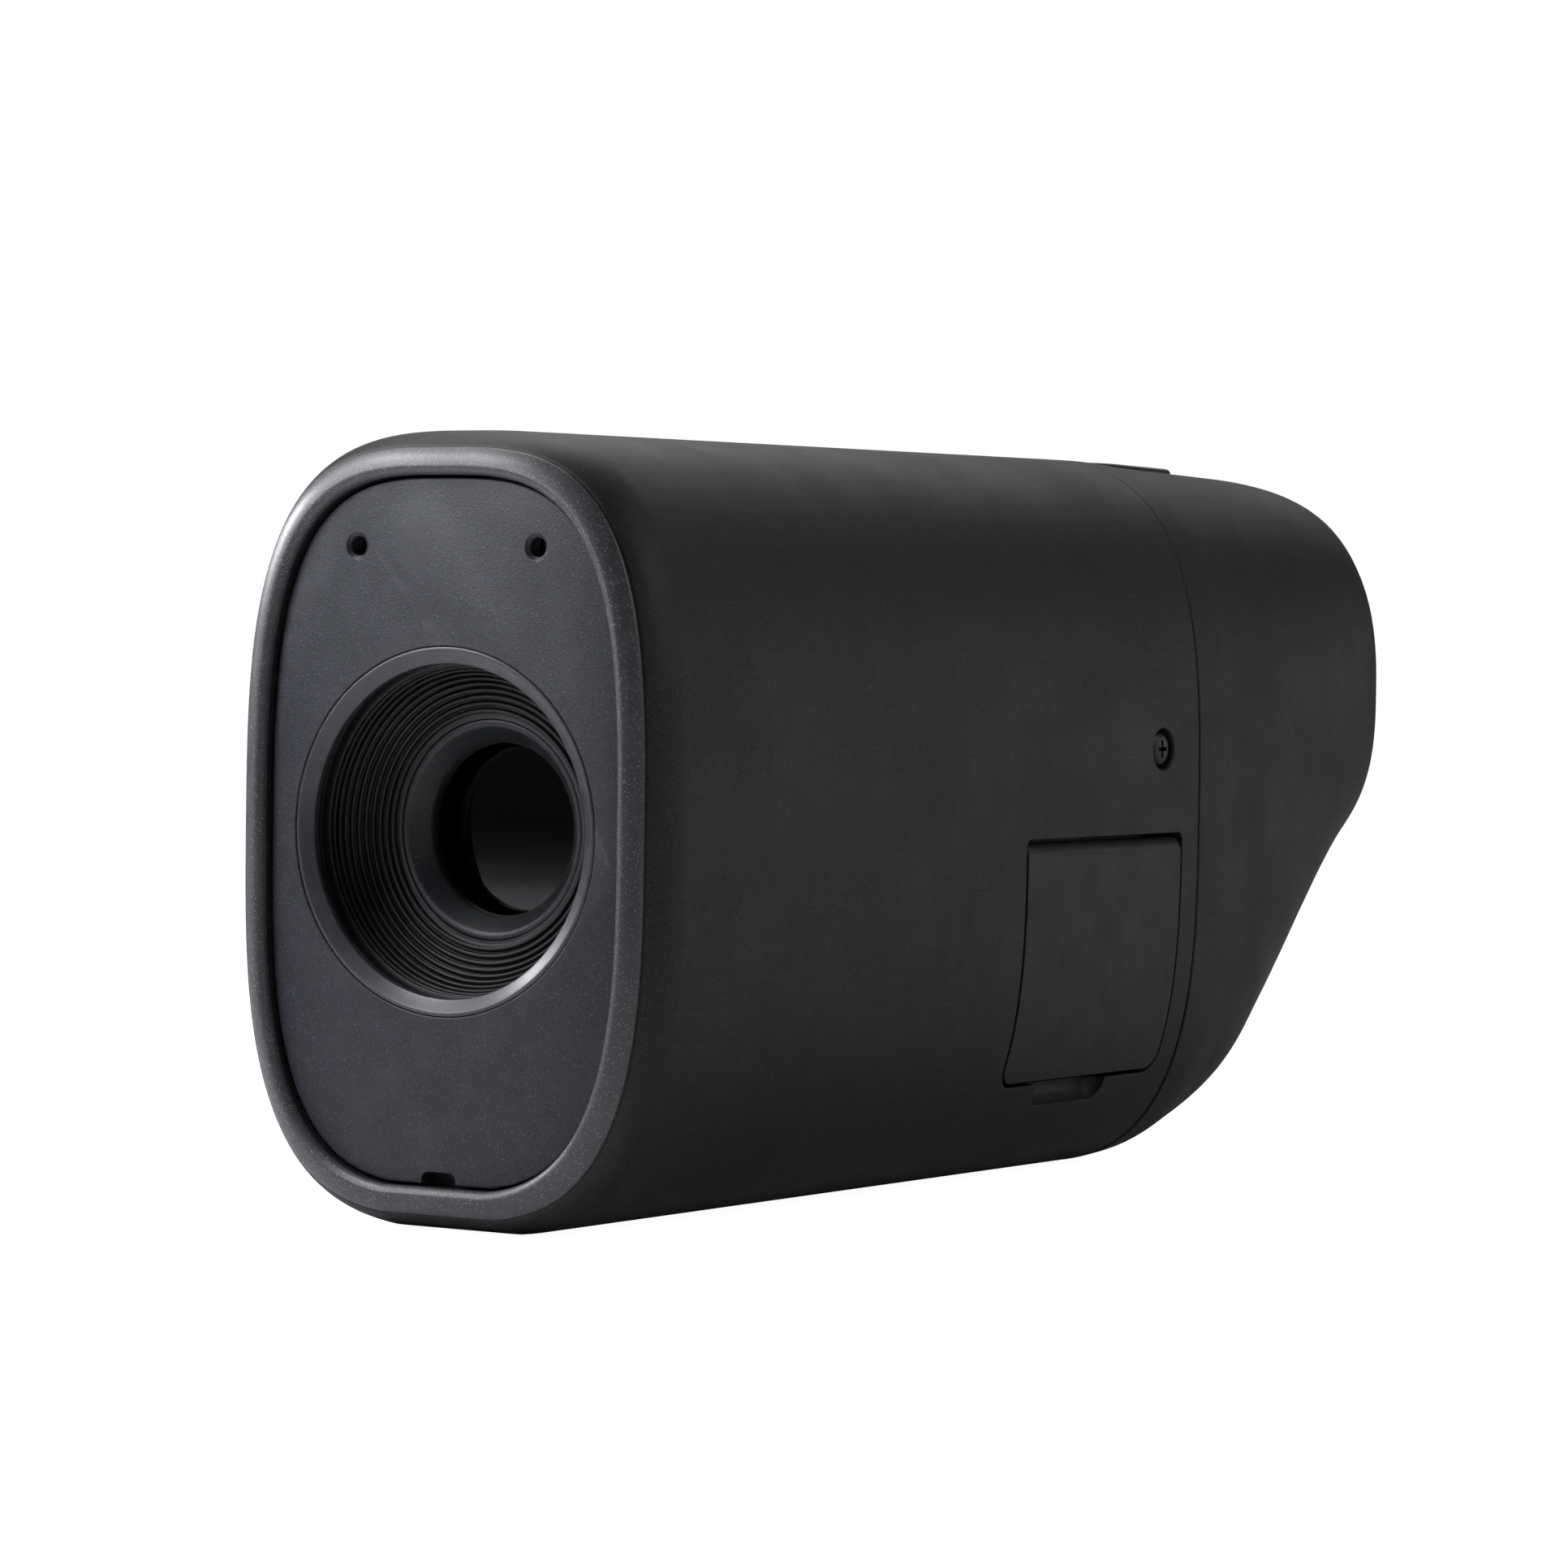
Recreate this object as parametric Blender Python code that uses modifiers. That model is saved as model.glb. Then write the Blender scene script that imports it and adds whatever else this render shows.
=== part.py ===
"""A hand-held digital telephoto viewer: lens in front, electronic eyepiece behind.

The lens looks along -Y, +X is the side with the port door, +Z is up, and the origin is the
middle of the flat strip that the body rests on. All lengths are in metres.
"""

import math

import bmesh
import bpy
from mathutils import Matrix, Vector

MM = 0.001

# Overall body
BODY_LENGTH = 103.2 * MM
BODY_WIDTH = 33.4 * MM
BODY_HEIGHT = 50.8 * MM
REAR_LENGTH = 34.6 * MM
WALL = 1.5 * MM
GAP = 0.3 * MM
SEAT = 0.2 * MM
TOP_EXPONENT = 3.2
BOTTOM_EXPONENT = 3.1
REST_CUT = 0.15 * MM
RING_POINTS = 48

# Front rim and plate
RIM_INSET = 2.6 * MM
RIM_DEPTH = 4.1 * MM
RIM_STEPS = 6
LIP_DROP = 0.4 * MM
PLATE_INSET = 3.2 * MM
PLATE_DEPTH = 1.0 * MM
PLATE_THICKNESS = 1.2 * MM
LEDGE_INSET = 4.4 * MM
LEDGE_THICKNESS = 1.2 * MM
NOTCH_WIDTH = 2.7 * MM
NOTCH_HEIGHT = 1.1 * MM
MIC_SPACING = 14.0 * MM
MIC_DROP = 7.4 * MM
MIC_HOLE_RADIUS = 0.65 * MM
MIC_RADIUS = 1.3 * MM
MIC_LENGTH = 1.2 * MM
MIC_BOARD_WIDTH = 18.0 * MM
MIC_BOARD_HEIGHT = 2.8 * MM

# Lens
TRIM_RADIUS = 11.7 * MM
TRIM_INNER_RADIUS = 10.6 * MM
TRIM_FACE = 0.5 * MM
TRIM_THICKNESS = 1.0 * MM
HOOD_DEPTH = 6.2 * MM
HOOD_REAR_RADIUS = 7.4 * MM
HOOD_RIBS = 12
BARREL_RADIUS = 11.0 * MM
BARREL_WALL = 1.2 * MM
BARREL_END_WALL = 1.2 * MM
CELL_SEAT = 1.0 * MM
CELL_LENGTH = 5.9 * MM
CELL_WALL = 1.1 * MM
CELL_FROM_RODS = 0.4 * MM
CELL_LIP = 0.7 * MM
FRONT_LENS_EDGE = 1.8 * MM
FRONT_LENS_SAG = 0.9 * MM
ROD_RADIUS = 0.6 * MM
ROD_FROM_BORE = 1.2 * MM
SCREW_RADIUS = 0.8 * MM
SCREW_FROM_BORE = 1.4 * MM
CARRIAGE_FROM_RODS = 0.7 * MM
CARRIAGE_WALL = 2.0 * MM
EAR_HALF_WIDTH = 1.3 * MM
EAR_CLEARANCE = 0.4 * MM
RUNNING = 0.15 * MM
ZOOM_LENGTH = 5.0 * MM
ZOOM_START = 14.6 * MM
FOCUS_LENGTH = 4.0 * MM
FOCUS_START = 14.0 * MM
FOCUS_SCREW_LENGTH = 17.0 * MM
LENS_EDGE = 1.2 * MM
LENS_SAG = 0.7 * MM
APERTURE_RADIUS = 4.5 * MM
BASE_RING_LIP = 1.3 * MM
BASE_RING_START = 22.4 * MM
BASE_RING_THICKNESS = 1.2 * MM
STABILIZER_WINDOW_SHARE = 0.7
STABILIZER_THICKNESS = 1.4 * MM
STABILIZER_TRAVEL = 0.35 * MM
STABILIZER_HOLDER_WALL = 0.95 * MM
MOTOR_FROM_SENSOR = 0.5 * MM
MOTOR_LENGTH = 9.0 * MM
MOTOR_SOCKET = 2.0 * MM

# Sensor
COVER_GLASS = (7.2 * MM, 0.5 * MM, 6.0 * MM)
SENSOR = (9.2 * MM, 1.0 * MM, 8.4 * MM)
SENSOR_BOARD = (9.8 * MM, 0.8 * MM, 16.0 * MM)

# Chassis, boards and battery
SENSOR_BEHIND = 17.0 * MM
DECK_RISE = 1.8 * MM
DECK_THICKNESS = 0.8 * MM
DECK_HALF_WIDTH = 10.5 * MM
DECK_OVERHANG = 12.0 * MM
BULKHEAD = 1.0 * MM
FRONT_BULKHEAD_START = 7.4 * MM
TRAY_HALF_WIDTH = 8.0 * MM
TRAY_HEIGHT = 3.0 * MM
TRAY_THICKNESS = 0.9 * MM
LEG_X = 12.6 * MM
LEG_THICKNESS = 1.0 * MM
LEG_START = 2.0 * MM
LEG_DEPTH = 6.8 * MM
BOARD_THICKNESS = 0.8 * MM
MAIN_BOARD_HALF_WIDTH = 10.2 * MM
SHIELD_HALF_WIDTH = 7.0 * MM
SHIELD_START = 19.6 * MM
SHIELD_LENGTH = 16.0 * MM
SHIELD_HEIGHT = 1.8 * MM
BATTERY_HALF_WIDTH = 9.5 * MM
BATTERY_CLEARANCE = 1.0 * MM
POST_RADIUS = 1.0 * MM
POST_PLACES = (3.0 * MM, 10.0 * MM)

# Ports
DOOR_FROM_SEAM = 2.6 * MM
DOOR_LENGTH = 20.8 * MM
DOOR_BOTTOM = 7.5 * MM
DOOR_HEIGHT = 16.5 * MM
DOOR_THICKNESS = 1.2 * MM
DOOR_CORNER = 1.3 * MM
KNUCKLE_RADIUS = 0.75 * MM
HINGE_PIN_RADIUS = 0.3 * MM
HINGE_PIN_END = 1.2 * MM
NAIL_RADIUS = 0.95 * MM
NAIL_LENGTH = 9.0 * MM
NAIL_REACH = 1.2 * MM
BEZEL_THICKNESS = 0.8 * MM
BEZEL_BORDER = 1.3 * MM
CONNECTOR_BOARD_Z = 14.0 * MM
CONNECTOR_BOARD_DEPTH = 12.0 * MM
USB_WIDTH = 8.9 * MM
USB_HEIGHT = 3.2 * MM
USB_DEPTH = 7.3 * MM
USB_START = 1.6 * MM
USB_MOUTH_DEPTH = 5.0 * MM
USB_SHELL = 0.4 * MM
CARD_WIDTH = 11.0 * MM
CARD_HEIGHT = 1.6 * MM
CARD_DEPTH = 14.7 * MM
CARD_START = 0.9 * MM
PORT_STANDOFF = 0.4 * MM

# Rear housing
SPIGOT_LENGTH = 3.8 * MM
SPIGOT_WALL = 1.2 * MM
REAR_LIP = 0.3 * MM
SCREW_FROM_SEAM = 5.1 * MM
SCREW_RISE = 4.8 * MM
SCREW_HEAD_RADIUS = 1.15 * MM
SCREW_HEAD_HEIGHT = 0.6 * MM
SCREW_SHANK_RADIUS = 0.6 * MM
SCREW_LENGTH = 3.2 * MM
COUNTERBORE_RADIUS = 1.45 * MM
COUNTERBORE_DEPTH = 0.9 * MM
TAB_LENGTH = 5.1 * MM
TAB_HALF_HEIGHT = 2.6 * MM
TAB_THICKNESS = 2.2 * MM
TAB_FROM_WALL = 0.7 * MM
RECESS_SLOT = 0.35 * MM
RECESS_SPAN = 1.3 * MM
RECESS_DEPTH = 0.35 * MM

# Eyepiece
EYE_DROP = 18.9 * MM
HOLDER_RADIUS = 7.6 * MM
HOLDER_BORE = 6.6 * MM
HOLDER_LENGTH = 20.5 * MM
FLANGE_HALF_WIDTH = 10.2 * MM
FLANGE_HALF_HEIGHT = 8.0 * MM
FLANGE_CORNER = 3.6 * MM
FLANGE_THICKNESS = 1.2 * MM
EYECUP_HALF_WIDTH = 9.0 * MM
EYECUP_HALF_HEIGHT = 7.6 * MM
EYECUP_WALL = 1.9 * MM
EYE_LENS_LENGTH = 4.0 * MM
EYE_LENS_FROM_REAR = 10.6 * MM
EYE_WINDOW_THICKNESS = 0.8 * MM
EYE_WINDOW_FROM_REAR = 3.6 * MM
DISPLAY = (9.2 * MM, 1.0 * MM, 7.6 * MM)
DISPLAY_BOARD = (14.0 * MM, 0.7 * MM, 14.0 * MM)
SENSOR_WINDOW = (4.6 * MM, 0.9 * MM, 1.4 * MM)
SENSOR_WINDOW_RISE = 9.8 * MM
WHEEL_RADIUS = 4.6 * MM
WHEEL_WIDTH = 2.2 * MM
WHEEL_TEETH = 24
WHEEL_DROP = 10.4 * MM
WHEEL_FROM_REAR = 14.6 * MM
WHEEL_PROUD = 0.5 * MM
AXLE_RADIUS = 0.8 * MM
ARM_HALF_WIDTH = 1.5 * MM

# Strap anchor
STRAP_FROM_SEAM = 9.8 * MM
STRAP_Z = 15.5 * MM
STRAP_POCKET = (3.4 * MM, 6.4 * MM, 4.6 * MM)
STRAP_POCKET_WALL = 1.2 * MM
STRAP_BAR_RADIUS = 0.7 * MM
STRAP_BAR_DEPTH = 1.0 * MM
STRAP_BAR_END = 0.6 * MM

# Buttons and switches
BUTTON_RADIUS = 2.7 * MM
BUTTON_FLANGE = 3.4 * MM
BUTTON_SINK = 0.25 * MM
FLANGE_HEIGHT = 0.8 * MM
STEM_RADIUS = 1.0 * MM
STEM_REACH = 2.25 * MM
PRESS_GAP = 0.45 * MM
SWITCH_SIZE = 3.6 * MM
SWITCH_HEIGHT = 0.5 * MM
SWITCH_BOARD_THICKNESS = 0.6 * MM
SWITCH_BOARD_HALF_WIDTH = 4.6 * MM
POWER_FROM_SEAM = 23.0 * MM
MENU_FROM_SEAM = 11.0 * MM
PHOTO_FROM_SEAM = 20.0 * MM
VIDEO_FROM_SEAM = 10.0 * MM
ZOOM_BUTTON_START = 5.4 * MM
ZOOM_BUTTON_LENGTH = 13.8 * MM
ZOOM_BUTTON_HALF_WIDTH = 4.6 * MM
ZOOM_BUTTON_TILT = math.radians(1.3)
ZOOM_BUTTON_TOP = 0.25 * MM
ZOOM_BUTTON_REACH = 1.05 * MM

# Places worked out from the sizes above
FRONT_Y = -BODY_LENGTH / 2
REAR_Y = BODY_LENGTH / 2
SEAM_Y = REAR_Y - REAR_LENGTH
AXIS_Z = BODY_HEIGHT / 2
PLATE_Y = FRONT_Y + PLATE_DEPTH
LEDGE_Y = PLATE_Y + PLATE_THICKNESS + GAP
LEDGE_BACK_Y = LEDGE_Y + LEDGE_THICKNESS
HOOD_Y = PLATE_Y + TRIM_THICKNESS + GAP
HOOD_BACK_Y = FRONT_Y + HOOD_DEPTH
SENSOR_Y = SEAM_Y - SENSOR_BEHIND
ROD_OFFSET = BARREL_RADIUS - BARREL_WALL - ROD_FROM_BORE
SCREW_OFFSET = BARREL_RADIUS - BARREL_WALL - SCREW_FROM_BORE
CARRIAGE_RADIUS = ROD_OFFSET - ROD_RADIUS - CARRIAGE_FROM_RODS
CARRIAGE_BORE = CARRIAGE_RADIUS - CARRIAGE_WALL
FRONT_LENS_RADIUS = ROD_OFFSET - ROD_RADIUS - CELL_FROM_RODS - CELL_WALL - GAP
CELL_APERTURE = FRONT_LENS_RADIUS - CELL_LIP
BASE_RING_BORE = CARRIAGE_RADIUS - BASE_RING_LIP
STABILIZER_RADIUS = CARRIAGE_RADIUS - GAP
STABILIZER_WINDOW = STABILIZER_RADIUS * STABILIZER_WINDOW_SHARE
MOTOR_RADIUS = SCREW_OFFSET - SENSOR_BOARD[0] / 2 - MOTOR_FROM_SENSOR
BARREL_Y = HOOD_BACK_Y + GAP
BARREL_BORE = BARREL_RADIUS - BARREL_WALL
CELL_Y = BARREL_Y + GAP
DECK_Z = AXIS_Z + BARREL_RADIUS + DECK_RISE
STEM_END = WALL + STEM_REACH
ZOOM_BUTTON_HEIGHT = WALL + ZOOM_BUTTON_REACH
MAIN_BOARD_Z = DECK_Z + DECK_THICKNESS + GAP
TOP_SWITCH_Z = BODY_HEIGHT - STEM_END - PRESS_GAP - SWITCH_HEIGHT
TOP_BOARD_Z = TOP_SWITCH_Z - GAP - SWITCH_BOARD_THICKNESS
BOTTOM_SWITCH_Z = STEM_END + PRESS_GAP
BOTTOM_BOARD_Z = BOTTOM_SWITCH_Z + SWITCH_HEIGHT + GAP
DOOR_Y = SEAM_Y - DOOR_FROM_SEAM - DOOR_LENGTH
DOOR_TOP = DOOR_BOTTOM + DOOR_HEIGHT
MID_BULKHEAD_Y = DOOR_Y - BEZEL_BORDER - GAP - BULKHEAD
REAR_FACE_Y = REAR_Y - REAR_LIP
REAR_INNER_Y = REAR_FACE_Y - WALL
EYE_Z = BODY_HEIGHT - EYE_DROP
HOLDER_BACK_Y = REAR_INNER_Y - GAP
HOLDER_Y = HOLDER_BACK_Y - HOLDER_LENGTH
WHEEL_Y = REAR_Y - WHEEL_FROM_REAR
WHEEL_Z = EYE_Z - WHEEL_DROP
STRAP_Y = SEAM_Y + STRAP_FROM_SEAM

SECTIONS_HEIGHT = 50.8 * MM

# Rear housing sections for a body of that height, in millimetres: share of the rear length behind
# the seam, then how far the sides come in, the top comes down and the underside comes up, then
# the exponent of the section's curve
REAR_SECTIONS = (
    (0.00, 0.0, 0.0, 0.0, 3.15),
    (0.08, 0.0, 0.0, 0.2, 3.15),
    (0.20, 0.1, 0.2, 1.2, 3.1),
    (0.32, 0.2, 0.4, 2.8, 3.1),
    (0.42, 0.4, 0.5, 5.7, 3.05),
    (0.52, 0.6, 0.6, 9.1, 3.0),
    (0.61, 0.85, 0.7, 12.2, 2.95),
    (0.70, 1.2, 0.8, 15.0, 2.9),
    (0.78, 1.5, 1.0, 17.3, 2.85),
    (0.85, 1.8, 1.4, 19.0, 2.8),
    (0.90, 2.2, 2.4, 19.9, 2.75),
    (0.94, 2.8, 4.0, 20.6, 2.7),
    (0.975, 3.9, 6.2, 21.4, 2.65),
)
REAR_FACE_SECTION = (5.2, 7.8, 22.0, 2.6)

PARTS = bpy.data.collections.new("telephoto_viewer")
CUTTERS = bpy.data.collections.new("cutters")


def start_scene():
    for old in list(bpy.data.objects):
        bpy.data.objects.remove(old, do_unlink=True)
    bpy.context.scene.collection.children.link(PARTS)
    bpy.context.scene.collection.children.link(CUTTERS)


def make_material(name, colour, roughness, metallic=0.0):
    made = bpy.data.materials.new(name)
    made.use_nodes = True
    shader = made.node_tree.nodes["Principled BSDF"]
    shader.inputs["Base Color"].default_value = (*colour, 1.0)
    shader.inputs["Roughness"].default_value = roughness
    shader.inputs["Metallic"].default_value = metallic
    return made


MATERIALS = {
    "shell": make_material("shell", (0.017, 0.017, 0.018), 0.55),
    "plate": make_material("plate", (0.034, 0.037, 0.048), 0.42, 0.3),
    "black": make_material("black", (0.008, 0.008, 0.009), 0.6),
    "rubber": make_material("rubber", (0.012, 0.012, 0.012), 0.8),
    "glass": make_material("glass", (0.02, 0.022, 0.03), 0.05),
    "steel": make_material("steel", (0.55, 0.55, 0.56), 0.3, 1.0),
    "dark_steel": make_material("dark_steel", (0.05, 0.05, 0.055), 0.35, 1.0),
    "board": make_material("board", (0.01, 0.06, 0.03), 0.5),
    "chassis": make_material("chassis", (0.09, 0.09, 0.1), 0.5, 0.6),
    "battery": make_material("battery", (0.25, 0.26, 0.28), 0.4, 0.4),
    "brass": make_material("brass", (0.6, 0.45, 0.2), 0.35, 1.0),
}


# Shapes


def settle(name, made, finish, origin=(0, 0, 0)):
    """A bmesh in world places becomes an object whose own origin is at the given place."""
    bmesh.ops.translate(made, vec=-Vector(origin), verts=made.verts)
    bmesh.ops.recalc_face_normals(made, faces=made.faces)
    mesh = bpy.data.meshes.new(name)
    made.to_mesh(mesh)
    made.free()
    mesh.materials.append(MATERIALS[finish])
    mesh.shade_smooth()
    mesh.set_sharp_from_angle(angle=math.radians(35))
    piece = bpy.data.objects.new(name, mesh)
    piece.location = origin
    PARTS.objects.link(piece)
    return piece


def box_mesh(low, high):
    low = Vector(low)
    high = Vector(high)
    made = bmesh.new()
    bmesh.ops.create_cube(made, size=1.0)
    size = high - low
    bmesh.ops.scale(made, vec=size, verts=made.verts)
    bmesh.ops.translate(made, vec=(low + high) / 2, verts=made.verts)
    return made


def box(name, low, high, finish):
    return settle(name, box_mesh(low, high), finish)


def rounded_box(name, low, high, axis, radius, finish, segments=4, below=BODY_HEIGHT * 2):
    """A box whose edges along one axis (0, 1 or 2), and below a height, are rounded."""
    made = box_mesh(low, high)
    along = []
    for edge in made.edges:
        run = edge.verts[1].co - edge.verts[0].co
        if abs(run[axis]) > 0.99 * run.length and edge.verts[0].co.z < below:
            along.append(edge)
    bmesh.ops.bevel(
        made, geom=along, offset=radius, segments=segments, profile=0.5, affect="EDGES"
    )
    return settle(name, made, finish)


def rod(name, start, end, radius, finish, segments=16, origin=(0, 0, 0)):
    start = Vector(start)
    end = Vector(end)
    made = bmesh.new()
    bmesh.ops.create_cone(
        made,
        cap_ends=True,
        segments=segments,
        radius1=radius,
        radius2=radius,
        depth=(end - start).length,
        matrix=Matrix.Rotation(math.pi / segments, 4, "Z"),
    )
    turn = Vector((0, 0, 1)).rotation_difference(end - start).to_matrix().to_4x4()
    place = Matrix.Translation((start + end) / 2) @ turn
    bmesh.ops.transform(made, matrix=place, verts=made.verts)
    return settle(name, made, finish, origin)


def turned(name, profile, origin, axis, finish, steps=32):
    """Turns (radius, distance along the axis from the origin) points into a round solid."""
    area = 0.0
    for (r1, a1), (r2, a2) in zip(profile, profile[1:] + profile[:1]):
        area += r1 * a2 - r2 * a1
    points = profile if area < 0 else profile[::-1]
    edges = [(i, i + 1) for i in range(len(points) - 1)]
    if min(radius for radius, _ in points) > 0:
        edges.append((len(points) - 1, 0))
    mesh = bpy.data.meshes.new(name)
    mesh.from_pydata([(radius, 0, along) for radius, along in points], edges, [])
    mesh.materials.append(MATERIALS[finish])
    piece = bpy.data.objects.new(name, mesh)
    piece.location = origin
    piece.rotation_euler = Vector((0, 0, 1)).rotation_difference(Vector(axis)).to_euler()
    PARTS.objects.link(piece)
    screw = piece.modifiers.new("turn", "SCREW")
    screw.steps = steps
    screw.render_steps = steps
    screw.use_merge_vertices = True
    screw.merge_threshold = 0.00001
    screw.use_smooth_shade = True
    return piece


def section_ring(half_width, top, bottom, top_exponent, bottom_exponent, y, points=RING_POINTS):
    """One closed section of the body: a rounded oval whose lowest part is cut flat."""
    centre = (top + bottom) / 2
    ring = []
    for step in range(points):
        angle = 2 * math.pi * step / points
        across = math.cos(angle)
        up = math.sin(angle)
        if up >= 0:
            exponent = top_exponent
            height = top - centre
        else:
            exponent = bottom_exponent
            height = centre - bottom + REST_CUT
        x = half_width * math.copysign(abs(across) ** (2 / exponent), across)
        z = centre + height * math.copysign(abs(up) ** (2 / exponent), up)
        ring.append(Vector((x, y, max(z, bottom))))
    return ring


def body_ring(inset, y):
    return section_ring(
        BODY_WIDTH / 2 - inset, BODY_HEIGHT - inset, inset, TOP_EXPONENT, BOTTOM_EXPONENT, y
    )


def body_half_width(z, inset=0.0):
    """Half the width of the body's section, inset by a wall, at a height."""
    rise = z - AXIS_Z
    if rise >= 0:
        exponent = TOP_EXPONENT
        height = AXIS_Z - inset
    else:
        exponent = BOTTOM_EXPONENT
        height = AXIS_Z + REST_CUT - inset
    share = 1 - (abs(rise) / height) ** exponent
    return (BODY_WIDTH / 2 - inset) * share ** (1 / exponent)


def rear_section(share):
    """Half width, top, bottom and exponent of the rear housing at a share of its length."""
    height_share = BODY_HEIGHT / SECTIONS_HEIGHT
    rows = REAR_SECTIONS + ((1.0, *REAR_FACE_SECTION),)
    for low, high in zip(rows, rows[1:]):
        if share <= high[0]:
            break
    blend = (share - low[0]) / (high[0] - low[0])
    side, drop, rise, exponent = (a + (b - a) * blend for a, b in zip(low[1:], high[1:]))
    half_width = BODY_WIDTH / 2 - side * MM
    top = BODY_HEIGHT - drop * MM * height_share
    return half_width, top, rise * MM * height_share, exponent


def rear_ring(share, y, inset=0.0):
    half_width, top, bottom, exponent = rear_section(share)
    return section_ring(half_width - inset, top - inset, bottom + inset, exponent, exponent, y)


def rear_share(y):
    return (y - SEAM_Y) / (REAR_FACE_Y - SEAM_Y)


def loft(name, rings, finish, ring_closed=False):
    """Joins equal rings in order; the last joins the first, or both ends are capped."""
    made = bmesh.new()
    rows = [[made.verts.new(point) for point in ring] for ring in rings]
    pairs = list(zip(rows, rows[1:]))
    if ring_closed:
        pairs.append((rows[-1], rows[0]))
    else:
        made.faces.new(rows[0])
        made.faces.new(rows[-1])
    for near, far in pairs:
        for i in range(len(near)):
            j = (i + 1) % len(near)
            made.faces.new((near[i], near[j], far[j], far[i]))
    return settle(name, made, finish)


def ellipse_ring(half_width, half_height, y, z, points=RING_POINTS):
    ring = []
    for step in range(points):
        angle = 2 * math.pi * step / points
        across = half_width * math.cos(angle)
        ring.append(Vector((across, y, z + half_height * math.sin(angle))))
    return ring


def as_helper(piece):
    PARTS.objects.unlink(piece)
    CUTTERS.objects.link(piece)
    piece.hide_render = True
    piece.display_type = "WIRE"
    return piece


def combine(target, helper, operation):
    modifier = target.modifiers.new(helper.name, "BOOLEAN")
    modifier.operation = operation
    modifier.object = as_helper(helper)
    return target


def cut(target, helper):
    return combine(target, helper, "DIFFERENCE")


def join(target, helper):
    return combine(target, helper, "UNION")


def keep_inside(target, helper):
    return combine(target, helper, "INTERSECT")


# Housings


def main_housing():
    profile = [(PLATE_INSET - GAP, LIP_DROP)]
    for step in range(RIM_STEPS + 1):
        angle = math.pi / 2 * step / RIM_STEPS
        profile.append((RIM_INSET * (1 - math.sin(angle)), RIM_DEPTH * (1 - math.cos(angle))))
    rings = [body_ring(inset, FRONT_Y + depth) for inset, depth in profile]
    rings.append(body_ring(0, SEAM_Y))
    rings.append(body_ring(WALL, SEAM_Y))
    rings.append(body_ring(WALL, LEDGE_BACK_Y))
    rings.append(body_ring(LEDGE_INSET, LEDGE_BACK_Y))
    rings.append(body_ring(LEDGE_INSET, LEDGE_Y))
    rings.append(body_ring(PLATE_INSET - GAP, LEDGE_Y))
    housing = loft("main_housing", rings, "shell", ring_closed=True)
    cut(housing, door_outline("door_opening", GAP))
    cut(housing, door_nail_recess())
    hinge_start, hinge_end = hinge_line(HINGE_PIN_END + SEAT)
    cut(housing, rod("hinge_bore", hinge_start, hinge_end, HINGE_PIN_RADIUS + RUNNING, "shell"))
    for side in (1, -1):
        cut(housing, screw_bore(side, COUNTERBORE_RADIUS, COUNTERBORE_DEPTH, "counterbore"))
        cut(housing, screw_bore(side, SCREW_SHANK_RADIUS + SEAT, SCREW_LENGTH, "shank_bore"))
    for name, y, outward in ROUND_BUTTONS:
        bore_end = BODY_HEIGHT if outward > 0 else 0.0
        start = (0, y, bore_end + outward * WALL)
        end = (0, y, bore_end - outward * 2 * WALL)
        cut(housing, rod(name + "_bore", start, end, BUTTON_RADIUS + GAP, "shell", 24))
    return housing


def screw_bore(side, radius, depth, name):
    y = SEAM_Y - SCREW_FROM_SEAM
    z = AXIS_Z + SCREW_RISE
    surface = body_half_width(z)
    start = (side * (surface + WALL), y, z)
    end = (side * (surface - depth), y, z)
    return rod(f"{name}_{side}", start, end, radius, "shell", 20)


def housing_screw(name, side):
    y = SEAM_Y - SCREW_FROM_SEAM
    z = AXIS_Z + SCREW_RISE
    under_head = body_half_width(z) - COUNTERBORE_DEPTH + SEAT
    profile = [
        (0.0, SCREW_HEAD_HEIGHT),
        (SCREW_HEAD_RADIUS * 0.8, SCREW_HEAD_HEIGHT),
        (SCREW_HEAD_RADIUS, SCREW_HEAD_HEIGHT * 0.7),
        (SCREW_HEAD_RADIUS, 0.0),
        (SCREW_SHANK_RADIUS, 0.0),
        (SCREW_SHANK_RADIUS, -SCREW_LENGTH + SCREW_SHANK_RADIUS),
        (0.0, -SCREW_LENGTH),
    ]
    screw = turned(name, profile, (side * under_head, y, z), (side, 0, 0), "dark_steel", 20)
    face = side * (under_head + SCREW_HEAD_HEIGHT)
    for turn, spans in enumerate(((RECESS_SPAN, RECESS_SLOT), (RECESS_SLOT, RECESS_SPAN))):
        low = (face - RECESS_DEPTH, y - spans[0] / 2, z - spans[1] / 2)
        high = (face + RECESS_DEPTH, y + spans[0] / 2, z + spans[1] / 2)
        cut(screw, box(f"{name}_slot_{turn}", low, high, "dark_steel"))
    return screw


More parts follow.
